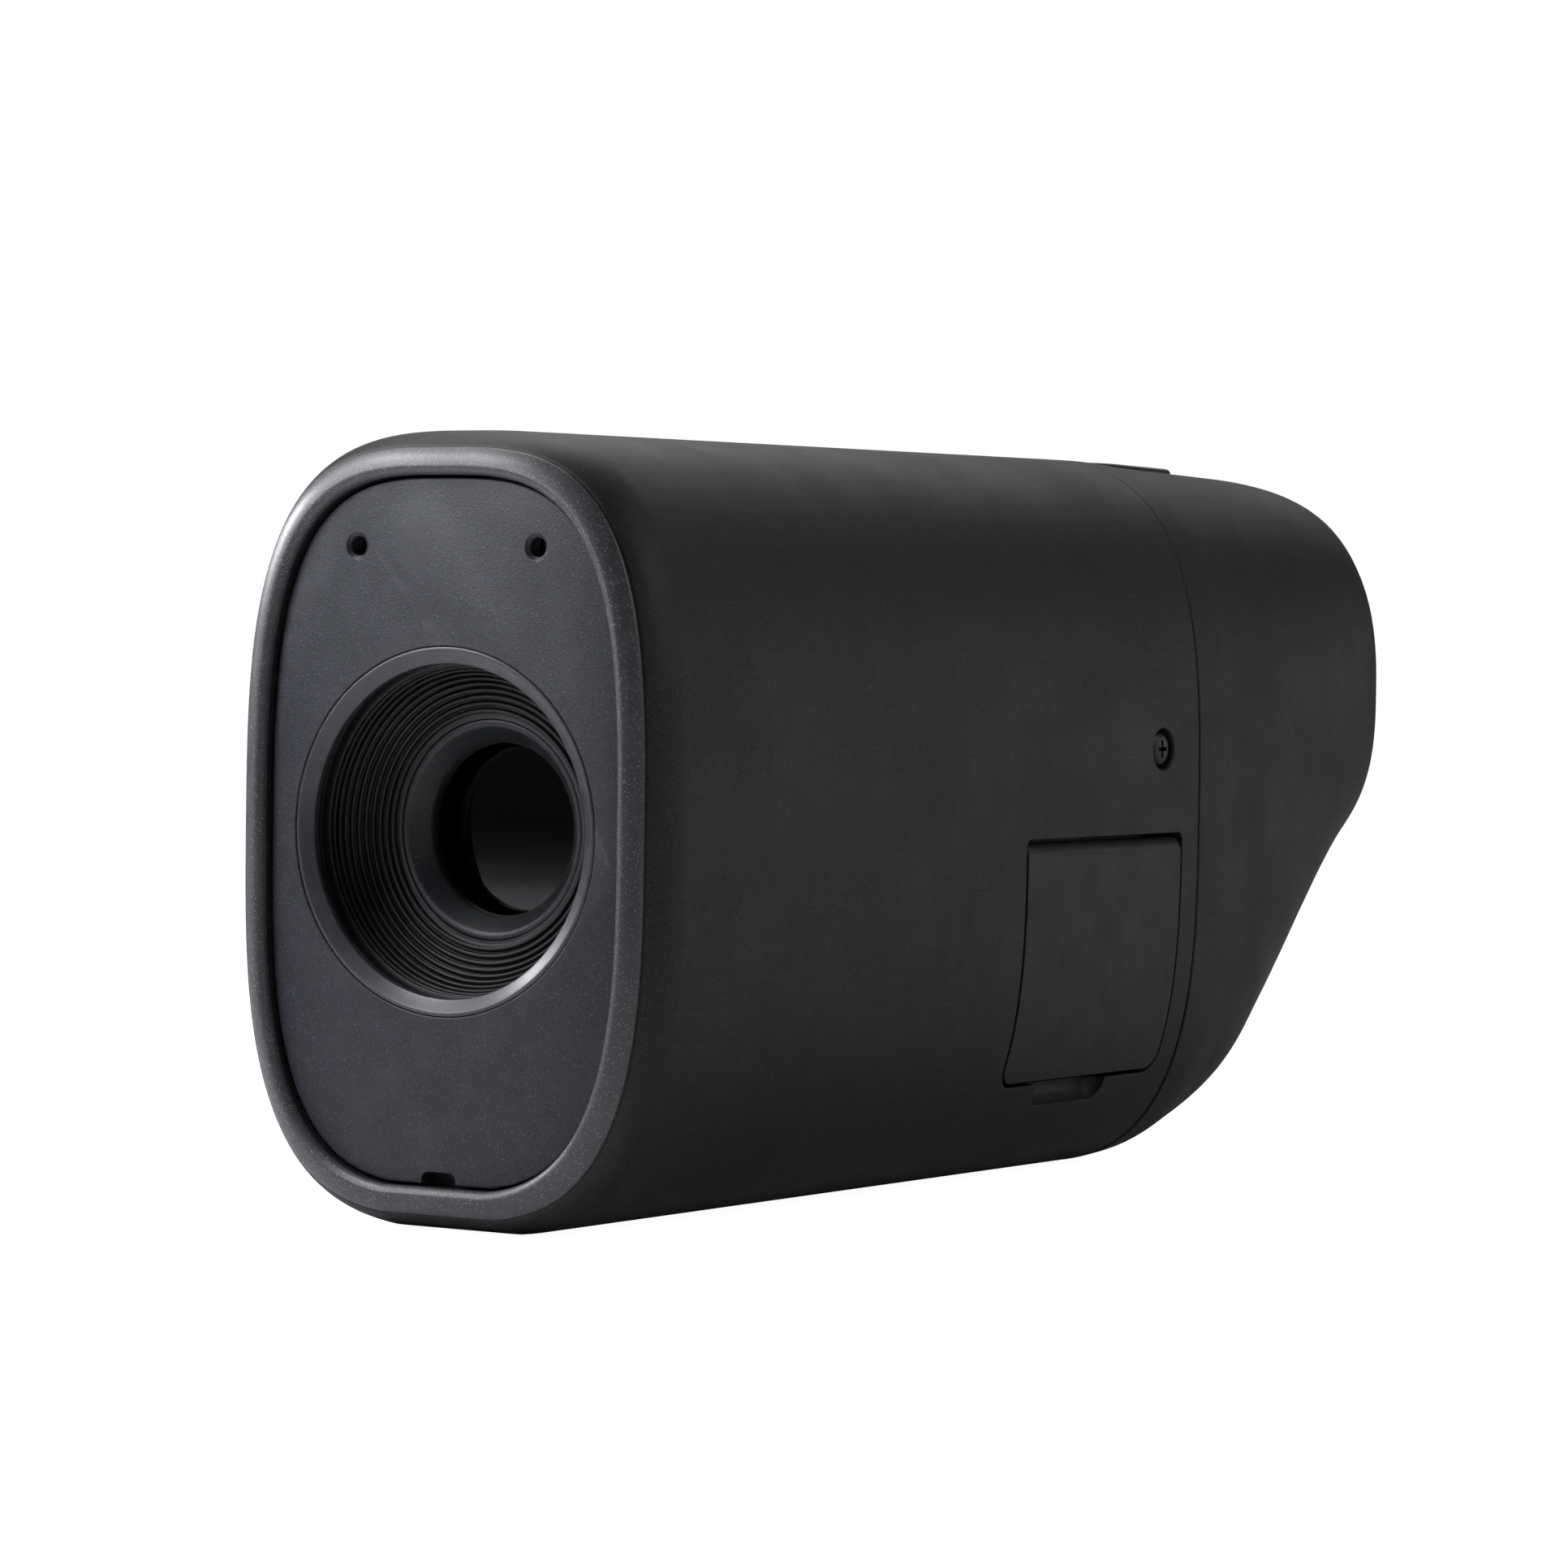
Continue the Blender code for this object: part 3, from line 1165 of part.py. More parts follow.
def switches():
    switch("power_switch", SEAM_Y - POWER_FROM_SEAM, TOP_SWITCH_Z)
    switch("menu_switch", SEAM_Y - MENU_FROM_SEAM, TOP_SWITCH_Z)
    switch("zoom_switch", zoom_middle(), TOP_SWITCH_Z)
    switch("photo_switch", SEAM_Y - PHOTO_FROM_SEAM, BOTTOM_SWITCH_Z)
    switch("video_switch", SEAM_Y - VIDEO_FROM_SEAM, BOTTOM_SWITCH_Z)


def switch_board(name, first_y, last_y, z):
    low = (-SWITCH_BOARD_HALF_WIDTH, first_y, z)
    high = (SWITCH_BOARD_HALF_WIDTH, last_y, z + SWITCH_BOARD_THICKNESS)
    return box(name, low, high, "board")


def switch_boards():
    first = SEAM_Y - POWER_FROM_SEAM - BUTTON_FLANGE
    switch_board("top_switch_board", first, zoom_middle() + BUTTON_FLANGE, TOP_BOARD_Z)
    first = MID_BULKHEAD_Y + BULKHEAD + GAP
    last = SEAM_Y - VIDEO_FROM_SEAM + BUTTON_FLANGE
    switch_board("bottom_switch_board", first, last, BOTTOM_BOARD_Z)


# Eyepiece


def eyepiece_holder():
    length = HOLDER_LENGTH
    profile = [
        (HOLDER_RADIUS, 0.0),
        (HOLDER_BORE, 0.0),
        (HOLDER_BORE, length),
        (HOLDER_RADIUS, length),
    ]
    holder = turned("eyepiece_holder", profile, (0, HOLDER_Y, EYE_Z), (0, 1, 0), "black", 24)
    flange_y = HOLDER_BACK_Y - FLANGE_THICKNESS
    low = (-FLANGE_HALF_WIDTH, flange_y, EYE_Z - FLANGE_HALF_HEIGHT)
    high = (FLANGE_HALF_WIDTH, HOLDER_BACK_Y, EYE_Z + FLANGE_HALF_HEIGHT)
    join(holder, rounded_box("holder_flange", low, high, 1, FLANGE_CORNER, "black"))
    x = wheel_x()
    arm_low = WHEEL_Z + WHEEL_WIDTH / 2 + GAP
    low = (x - ARM_HALF_WIDTH, WHEEL_Y - ARM_HALF_WIDTH, arm_low)
    arm_high = EYE_Z - (HOLDER_RADIUS + HOLDER_BORE) / 2
    high = (0, WHEEL_Y + ARM_HALF_WIDTH, arm_high)
    join(holder, box("wheel_arm", low, high, "black"))
    start = (x, WHEEL_Y, WHEEL_Z - WHEEL_WIDTH / 2)
    end = (x, WHEEL_Y, arm_low + GAP)
    join(holder, rod("wheel_axle", start, end, AXLE_RADIUS, "black", 12))
    start = (0, HOLDER_Y - GAP, EYE_Z)
    end = (0, HOLDER_BACK_Y + GAP, EYE_Z)
    return cut(holder, rod("holder_clear_bore", start, end, HOLDER_BORE, "black", 32))


def wheel_x():
    """The wheel's axle lies so far in that its rim stands proud of the side wall."""
    half_width, top, bottom, exponent = rear_section(rear_share(WHEEL_Y))
    centre = (top + bottom) / 2
    share = 1 - ((centre - WHEEL_Z) / (centre - bottom + REST_CUT)) ** exponent
    return -(half_width * share ** (1 / exponent) + WHEEL_PROUD - WHEEL_RADIUS)


def dioptre_wheel():
    made = bmesh.new()
    count = 2 * WHEEL_TEETH
    lower = []
    upper = []
    for step in range(count):
        angle = 2 * math.pi * step / count
        radius = WHEEL_RADIUS if step % 2 else WHEEL_RADIUS - SEAT
        x = wheel_x() + radius * math.cos(angle)
        y = WHEEL_Y + radius * math.sin(angle)
        lower.append(made.verts.new((x, y, WHEEL_Z - WHEEL_WIDTH / 2)))
        upper.append(made.verts.new((x, y, WHEEL_Z + WHEEL_WIDTH / 2)))
    made.faces.new(lower)
    made.faces.new(upper)
    for i in range(count):
        j = (i + 1) % count
        made.faces.new((lower[i], lower[j], upper[j], upper[i]))
    wheel = settle("dioptre_wheel", made, "rubber", (wheel_x(), WHEEL_Y, WHEEL_Z))
    start = (wheel_x(), WHEEL_Y, WHEEL_Z - WHEEL_WIDTH)
    end = (wheel_x(), WHEEL_Y, WHEEL_Z + WHEEL_WIDTH)
    return cut(wheel, rod("wheel_bore", start, end, AXLE_RADIUS + SEAT, "rubber", 12))


def dioptre_slot():
    reach = WHEEL_WIDTH / 2 + GAP
    start = (wheel_x(), WHEEL_Y, WHEEL_Z - reach)
    end = (wheel_x(), WHEEL_Y, WHEEL_Z + reach)
    return rod("dioptre_slot", start, end, WHEEL_RADIUS + GAP, "shell", 32)


def eyepiece_lens():
    y = REAR_Y - EYE_LENS_FROM_REAR
    radius = HOLDER_BORE - GAP
    profile = lens_profile(radius, EYE_LENS_LENGTH / 2, EYE_LENS_LENGTH / 4)
    return turned("eyepiece_lens", profile, (0, y, EYE_Z), (0, 1, 0), "glass", 24)


def eyepiece_window():
    y = REAR_Y - EYE_WINDOW_FROM_REAR
    end = (0, y + EYE_WINDOW_THICKNESS, EYE_Z)
    return rod("eyepiece_window", (0, y, EYE_Z), end, HOLDER_BORE - SEAT, "glass", 32)


def eyecup():
    out = (EYECUP_HALF_WIDTH, EYECUP_HALF_HEIGHT)
    mouth = (out[0] - EYECUP_WALL, out[1] - EYECUP_WALL)
    bevel = GAP
    rings = [
        ellipse_ring(out[0], out[1], REAR_INNER_Y, EYE_Z, 40),
        ellipse_ring(out[0], out[1], REAR_Y - bevel, EYE_Z, 40),
        ellipse_ring(out[0] - bevel, out[1] - bevel, REAR_Y, EYE_Z, 40),
        ellipse_ring(mouth[0] + bevel, mouth[1] + bevel, REAR_Y, EYE_Z, 40),
        ellipse_ring(mouth[0] - bevel, mouth[1] - bevel, REAR_INNER_Y, EYE_Z, 40),
    ]
    return loft("eyecup", rings, "rubber", ring_closed=True)


def eyepiece_display():
    y = HOLDER_Y + GAP
    centred_block("viewfinder_display", DISPLAY, y, EYE_Z, "black")
    y = HOLDER_Y - GAP - DISPLAY_BOARD[1]
    centred_block("viewfinder_board", DISPLAY_BOARD, y, EYE_Z, "board")


def sensor_window(name, grow, behind):
    """The small dark window over the eyepiece, or with a growth the opening for it."""
    y = REAR_FACE_Y - SEAT
    z = EYE_Z + SENSOR_WINDOW_RISE
    across = SENSOR_WINDOW[0] / 2 + grow
    half = SENSOR_WINDOW[2] / 2 + grow
    low = (-across, y - SENSOR_WINDOW[1] - behind, z - half)
    high = (across, y + behind, z + half)
    return rounded_box(name, low, high, 1, 0.8 * half, "glass", segments=3)


# Strap anchor


def strap_depth():
    """The distance from the middle to the side wall at the strap pocket's outer edge."""
    half_width, top, bottom, exponent = rear_section(rear_share(STRAP_Y))
    centre = (top + bottom) / 2
    drop = centre - STRAP_Z + STRAP_POCKET[2] / 2 + STRAP_POCKET_WALL
    share = 1 - (drop / (centre - bottom + REST_CUT)) ** exponent
    return half_width * share ** (1 / exponent)


def strap_box(name, grow, deep, out):
    side = strap_depth()
    run = STRAP_POCKET[1] / 2 + grow
    rise = STRAP_POCKET[2] / 2 + grow
    low = (-side - out, STRAP_Y - run, STRAP_Z - rise)
    high = (-side + deep, STRAP_Y + run, STRAP_Z + rise)
    return box(name, low, high, "shell")


def strap_block():
    wall = STRAP_POCKET_WALL
    return strap_box("strap_block", wall, STRAP_POCKET[0] + wall, -2 * GAP)


def strap_pocket():
    return strap_box("strap_pocket", 0.0, STRAP_POCKET[0], BODY_WIDTH / 4)


def strap_pin(name, radius, past):
    x = -strap_depth() + STRAP_BAR_DEPTH
    reach = STRAP_POCKET[2] / 2 + STRAP_BAR_END + past
    start = (x, STRAP_Y, STRAP_Z - reach)
    return rod(name, start, (x, STRAP_Y, STRAP_Z + reach), radius, "dark_steel", 12)


def build():
    start_scene()
    main_housing()
    rear_housing()
    front_plate()
    microphone("microphone_right", 1)
    microphone("microphone_left", -1)
    microphone_board()
    lens_trim_ring()
    baffle_hood()
    lens_cell()
    front_lens()
    lens_barrel()
    guide_rod("guide_rod_upper", 1)
    guide_rod("guide_rod_lower", -1)
    zoom_y = FRONT_Y + ZOOM_START
    carriage("zoom_carriage", zoom_y, ZOOM_LENGTH, -1)
    carriage_lens("zoom_lens", zoom_y, ZOOM_LENGTH)
    focus_y = SENSOR_Y - FOCUS_START
    carriage("focus_carriage", focus_y, FOCUS_LENGTH, 1)
    carriage_lens("focus_lens", focus_y, FOCUS_LENGTH)
    lead_screw("zoom_lead_screw", -1, CELL_Y + CELL_LENGTH + GAP)
    lead_screw("focus_lead_screw", 1, SENSOR_Y - FOCUS_SCREW_LENGTH)
    motor("zoom_motor", -1)
    motor("focus_motor", 1)
    stabilizer_frame()
    stabilizer_holder()
    stabilizer_lens()
    sensor_stack()
    chassis()
    main_board()
    processor_shield()
    battery()
    port_door()
    door_hinge_pin()
    port_bezel()
    connector_board()
    usb_socket()
    card_socket()
    for name, y, outward in ROUND_BUTTONS:
        round_button(name, y, outward)
    zoom_button()
    switches()
    switch_boards()
    eyepiece_holder()
    eyepiece_lens()
    eyepiece_window()
    eyecup()
    eyepiece_display()
    sensor_window("eye_sensor_window", 0.0, 0.0)
    dioptre_wheel()
    strap_pin("strap_bar", STRAP_BAR_RADIUS, 0.0)
    housing_screw("housing_screw_right", 1)
    housing_screw("housing_screw_left", -1)


build()
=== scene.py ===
import math
import random

import bmesh
import bpy
from mathutils import Matrix, Vector


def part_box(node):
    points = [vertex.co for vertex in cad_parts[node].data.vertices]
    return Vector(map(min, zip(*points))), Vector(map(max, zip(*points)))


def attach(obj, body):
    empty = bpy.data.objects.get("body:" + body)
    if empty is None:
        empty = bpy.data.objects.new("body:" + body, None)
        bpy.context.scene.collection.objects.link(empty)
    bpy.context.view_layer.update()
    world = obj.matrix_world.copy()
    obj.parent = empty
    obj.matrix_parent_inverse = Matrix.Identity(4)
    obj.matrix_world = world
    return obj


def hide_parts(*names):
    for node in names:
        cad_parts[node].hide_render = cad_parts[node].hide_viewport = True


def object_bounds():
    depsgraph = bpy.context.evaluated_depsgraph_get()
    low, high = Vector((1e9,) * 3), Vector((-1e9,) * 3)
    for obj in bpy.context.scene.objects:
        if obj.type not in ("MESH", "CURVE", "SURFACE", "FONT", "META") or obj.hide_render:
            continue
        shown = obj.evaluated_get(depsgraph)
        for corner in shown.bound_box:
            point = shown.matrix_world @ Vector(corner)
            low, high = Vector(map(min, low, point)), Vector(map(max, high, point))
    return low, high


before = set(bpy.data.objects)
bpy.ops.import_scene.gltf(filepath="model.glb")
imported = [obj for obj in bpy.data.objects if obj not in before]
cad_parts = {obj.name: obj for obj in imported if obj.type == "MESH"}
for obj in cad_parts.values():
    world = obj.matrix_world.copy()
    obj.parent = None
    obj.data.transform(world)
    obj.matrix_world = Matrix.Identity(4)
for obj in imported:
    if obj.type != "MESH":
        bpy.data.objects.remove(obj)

mm = 0.001
cadLow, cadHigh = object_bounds()
print("frame loaded:", len(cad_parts), "nodes")

# Camera: the object's middle seen from ahead and to its right, a little above

cameraView = dict(
    turn=math.radians(33.238), rise=math.radians(1.787), roll=math.radians(0.791), distance=414.27 * mm,
    aside=-6.203 * mm, up=2.084 * mm, lens=135.36, film=36.0,
)


def placeCamera(view):
    turn, rise, roll = view["turn"], view["rise"], view["roll"]
    back = Vector((math.sin(turn) * math.cos(rise), -math.cos(turn) * math.cos(rise), math.sin(rise)))
    across = Vector((math.cos(turn), math.sin(turn), 0))
    upward = back.cross(across)
    right = across * math.cos(roll) + upward * math.sin(roll)
    up = upward * math.cos(roll) - across * math.sin(roll)
    middle = Vector((0, 0, (cadLow.z + cadHigh.z) / 2))
    data = bpy.data.cameras.new("viewCamera")
    data.lens = view["lens"]
    data.sensor_width = view["film"]
    data.clip_start = 0.01
    camera = bpy.data.objects.new("viewCamera", data)
    turned = Matrix((right, up, back)).transposed().to_4x4()
    place = middle + back * view["distance"] + right * view["aside"] + up * view["up"]
    camera.matrix_world = Matrix.Translation(place) @ turned
    bpy.context.scene.collection.objects.link(camera)
    bpy.context.scene.camera = camera


placeCamera(cameraView)

# Node helpers


def feed(tree, node, values):
    # sockets are linked, tuples are colours, the rest are plain values
    for key, value in values.items():
        if isinstance(value, bpy.types.NodeSocket):
            tree.links.new(value, node.inputs[key])
        elif isinstance(value, tuple):
            node.inputs[key].default_value = (*value, 1)
        else:
            node.inputs[key].default_value = value
    return node


def addNode(tree, kind, values=(), **settings):
    node = tree.nodes.new("ShaderNode" + kind)
    for key, value in settings.items():
        setattr(node, key, value)
    return feed(tree, node, dict(values))


def scaled(tree, vector, scale):
    return addNode(tree, "VectorMath", {0: vector, "Scale": scale}, operation="SCALE").outputs[0]


def ranged(tree, value, low, high, toLow, toHigh):
    return addNode(tree, "MapRange", {0: value, 1: low, 2: high, 3: toLow, 4: toHigh}).outputs[0]


def mixed(tree, mask, first, second):
    return addNode(tree, "Mix", {0: mask, 6: first, 7: second}, data_type="RGBA").outputs[2]


def combined(tree, operation, first, second):
    return addNode(tree, "Math", {0: first, 1: second}, operation=operation).outputs[0]


# Studio: a pale floor, small lamps near the front face, large softboxes above and behind

studio = dict(
    floorSize=6.0, floorColour=(0.86, 0.86, 0.87), floorGlow=0.96, skyShown=(1.0, 1.0, 1.0),
    skyShownStrength=1.0, skyLight=(0.9, 0.93, 1.0), skyLightStrength=0.07,
)
lamps = {
    # name: (place, aim, width, height, watts, colour), places in metres
    "faceLamp": ((-0.08, -0.14, 0.078), (0, -0.05, 0.045), 0.05, 0.05, 0.064, (0.93, 0.95, 1.0)),
    "rimLamp": ((-0.05, -0.083, 0.099), (0, -0.05, 0.04), 0.04, 0.03, 0.044, (0.97, 0.97, 1.0)),
    "leftLamp": ((-0.17, -0.064, 0.085), (0, -0.05, 0.02), 0.05, 0.02, 0.17, (0.98, 0.96, 1.0)),
    "cornerLamp": ((0.36, -0.22, 0.10), (0, 0, 0.025), 0.10, 0.20, 0.04, (1.0, 1.0, 1.0)),
    "topLamp": ((-0.05, 0.0, 0.16), (0, -0.03, 0.045), 0.14, 0.08, 0.075, (1.0, 0.99, 0.98)),
    "overheadSoftbox": ((-0.12, 0.36, 0.30), (0, 0, 0.025), 0.40, 0.24, 0.24, (1.0, 1.0, 1.0)),
    "horizonLamp": ((-0.28, 0.46, 0.075), (0, 0, 0.05), 0.20, 0.05, 0.05, (1.0, 1.0, 1.0)),
    "sideSoftbox": ((0.36, 0.10, 0.26), (0, 0, 0.025), 0.24, 0.30, 0.32, (1.0, 0.99, 0.985)),
    "rearSoftbox": ((0.28, 0.44, 0.05), (0, 0.03, 0.02), 0.30, 0.10, 0.10, (1.0, 1.0, 1.0)),
}


def makeStudio():
    world = bpy.data.worlds.new("studioSky")
    bpy.context.scene.world = world
    world.use_nodes = True
    tree = world.node_tree
    tree.nodes.clear()
    seen = addNode(tree, "LightPath").outputs["Is Camera Ray"]
    skies = []
    for kind in ("skyLight", "skyShown"):
        sky = addNode(tree, "Background", {"Color": studio[kind], "Strength": studio[kind + "Strength"]})
        skies.append(sky.outputs["Background"])
    chosen = addNode(tree, "MixShader", {"Fac": seen, 1: skies[0], 2: skies[1]})
    addNode(tree, "OutputWorld", {"Surface": chosen.outputs["Shader"]})

    half = studio["floorSize"] / 2
    sheet = bmesh.new()
    corners = ((-half, -half), (half, -half), (half, half), (-half, half))
    sheet.faces.new([sheet.verts.new((x, y, 0)) for x, y in corners])
    mesh = bpy.data.meshes.new("floor")
    sheet.to_mesh(mesh)
    sheet.free()
    floor = bpy.data.objects.new("floor", mesh)
    bpy.context.scene.collection.objects.link(floor)
    paper = bpy.data.materials.new("floorPaper")
    paper.use_nodes = True
    tree = paper.node_tree
    seen = addNode(tree, "LightPath").outputs["Is Camera Ray"]
    glow = combined(tree, "MULTIPLY", seen, studio["floorGlow"])
    feed(tree, tree.nodes["Principled BSDF"], {
        "Base Color": studio["floorColour"], "Roughness": 0.9, "Specular IOR Level": 0.0,
        "Emission Color": (1, 1, 1), "Emission Strength": glow,
    })
    mesh.materials.append(paper)

    for name, (place, aim, width, height, watts, colour) in lamps.items():
        data = bpy.data.lights.new(name, "AREA")
        data.shape = "RECTANGLE"
        data.size = width
        data.size_y = height
        data.energy = watts
        data.color = colour
        lamp = bpy.data.objects.new(name, data)
        run = Vector(aim) - Vector(place)
        lamp.matrix_world = Matrix.Translation(place) @ run.to_track_quat("-Z", "Y").to_matrix().to_4x4()
        lamp.visible_camera = False
        bpy.context.scene.collection.objects.link(lamp)
    bpy.context.scene.view_settings.view_transform = "Standard"


makeStudio()
print("studio ready")

# Shader groups, each built once


def newGroup(name, inputs, outputs):
    tree = bpy.data.node_groups.new(name, "ShaderNodeTree")
    for socket, kind, value in inputs:
        made = tree.interface.new_socket(name=socket, in_out="INPUT", socket_type="NodeSocket" + kind)
        if value is not None:
            made.default_value = value
    for socket, kind in outputs:
        tree.interface.new_socket(name=socket, in_out="OUTPUT", socket_type="NodeSocket" + kind)
    return tree, tree.nodes.new("NodeGroupInput").outputs, tree.nodes.new("NodeGroupOutput")


def newCoat(name, overName, over, amount):
    inputs = [
        ("Vector", "Vector", None), ("Color", "Color", (0.02, 0.02, 0.02, 1)),
        (overName, "Color", (*over, 1)), ("Amount", "Float", amount),
    ]
    return newGroup(name, inputs, [("Color", "Color"), ("Mask", "Float")])


def endCoat(tree, end, mask, under, over):
    feed(tree, end, {"Mask": mask, "Color": mixed(tree, mask, under, over)})
    return tree


def buildFineGrain():
    tree, given, end = newGroup(
        "fineGrain",
        [("Vector", "Vector", None), ("Scale", "Float", 6000.0)],
        [("Height", "Float"), ("Mottle", "Float")],
    )
    place = scaled(tree, given["Vector"], given["Scale"])
    pebbles = addNode(tree, "TexVoronoi", {"Vector": place, "Scale": 1.0}, feature="SMOOTH_F1")
    powder = addNode(tree, "TexNoise", {"Vector": place, "Scale": 2.3, "Detail": 3.0, "Roughness": 0.6})
    clouds = addNode(tree, "TexNoise", {"Vector": place, "Scale": 0.021, "Detail": 4.0, "Roughness": 0.55})
    mottle = combined(tree, "MULTIPLY", clouds.outputs["Fac"], powder.outputs["Fac"])
    feed(tree, end, {
        "Height": combined(tree, "ADD", pebbles.outputs["Distance"], powder.outputs["Fac"]),
        "Mottle": ranged(tree, mottle, 0.12, 0.4, 0.0, 1.0),
    })
    return tree


def buildMetalFlecks():
    tree, given, end = newGroup(
        "metalFlecks",
        [
            ("Vector", "Vector", None), ("Paint", "Color", (0.02, 0.02, 0.02, 1)),
            ("Fleck", "Color", (0.2, 0.2, 0.22, 1)), ("Scale", "Float", 7000.0), ("Share", "Float", 0.1),
        ],
        [("Color", "Color"), ("Mask", "Float")],
    )
    place = scaled(tree, given["Vector"], given["Scale"])
    cells = addNode(tree, "TexVoronoi", {"Vector": place, "Scale": 1.0})
    shade = addNode(tree, "TexNoise", {"Vector": place, "Scale": 0.07, "Detail": 3.0})
    draw = addNode(tree, "SeparateColor", {0: cells.outputs["Color"]})
    picked = combined(tree, "LESS_THAN", draw.outputs[0], given["Share"])
    spot = ranged(tree, cells.outputs["Distance"], 0.25, 0.5, 1.0, 0.0)
    glint = combined(tree, "MULTIPLY", picked, spot)
    mask = combined(tree, "MULTIPLY", glint, draw.outputs[1])
    darker = addNode(tree, "HueSaturation", {
        "Saturation": 1.0, "Fac": 1.0, "Color": given["Paint"],
        "Value": ranged(tree, shade.outputs["Fac"], 0.3, 0.7, 0.86, 1.16),
    })
    return endCoat(tree, end, mask, darker.outputs[0], given["Fleck"])


def buildEdgeWear():
    tree, given, end = newCoat("edgeWear", "Worn", (0.1, 0.1, 0.1), 0.5)
    shape = addNode(tree, "NewGeometry")
    patches = addNode(tree, "TexNoise", {
        "Vector": given["Vector"], "Scale": 420.0, "Detail": 5.0, "Roughness": 0.65,
    })
    edge = ranged(tree, shape.outputs["Pointiness"], 0.515, 0.60, 0.0, 1.0)
    broken = ranged(tree, patches.outputs["Fac"], 0.42, 0.62, 0.15, 1.0)
    rubbed = combined(tree, "MULTIPLY", edge, broken)
    mask = combined(tree, "MULTIPLY", rubbed, given["Amount"])
    return endCoat(tree, end, mask, given["Color"], given["Worn"])


def buildSettledDust():
    tree, given, end = newCoat("settledDust", "Dust", (0.35, 0.34, 0.32), 0.03)
    facing = addNode(tree, "SeparateXYZ", {0: addNode(tree, "NewGeometry").outputs["Normal"]})
    drift = addNode(tree, "TexNoise", {
        "Vector": given["Vector"], "Scale": 160.0, "Detail": 6.0, "Roughness": 0.7,
    })
    specks = addNode(tree, "TexVoronoi", {"Vector": given["Vector"], "Scale": 900.0})
    upward = ranged(tree, facing.outputs["Z"], -0.2, 1.0, 0.15, 1.0)
    film = combined(tree, "MULTIPLY", upward, ranged(tree, drift.outputs["Fac"], 0.35, 0.75, 0.0, 1.0))
    speck = ranged(tree, specks.outputs["Distance"], 0.03, 0.07, 1.2, 0.0)
    mask = combined(tree, "MULTIPLY", combined(tree, "ADD", film, speck), given["Amount"])
    return endCoat(tree, end, mask, given["Color"], given["Dust"])


groups = {
    "fineGrain": buildFineGrain(),
    "metalFlecks": buildMetalFlecks(),
    "edgeWear": buildEdgeWear(),
    "settledDust": buildSettledDust(),
}

# Looks: one dictionary for each finish, on top of the plain one

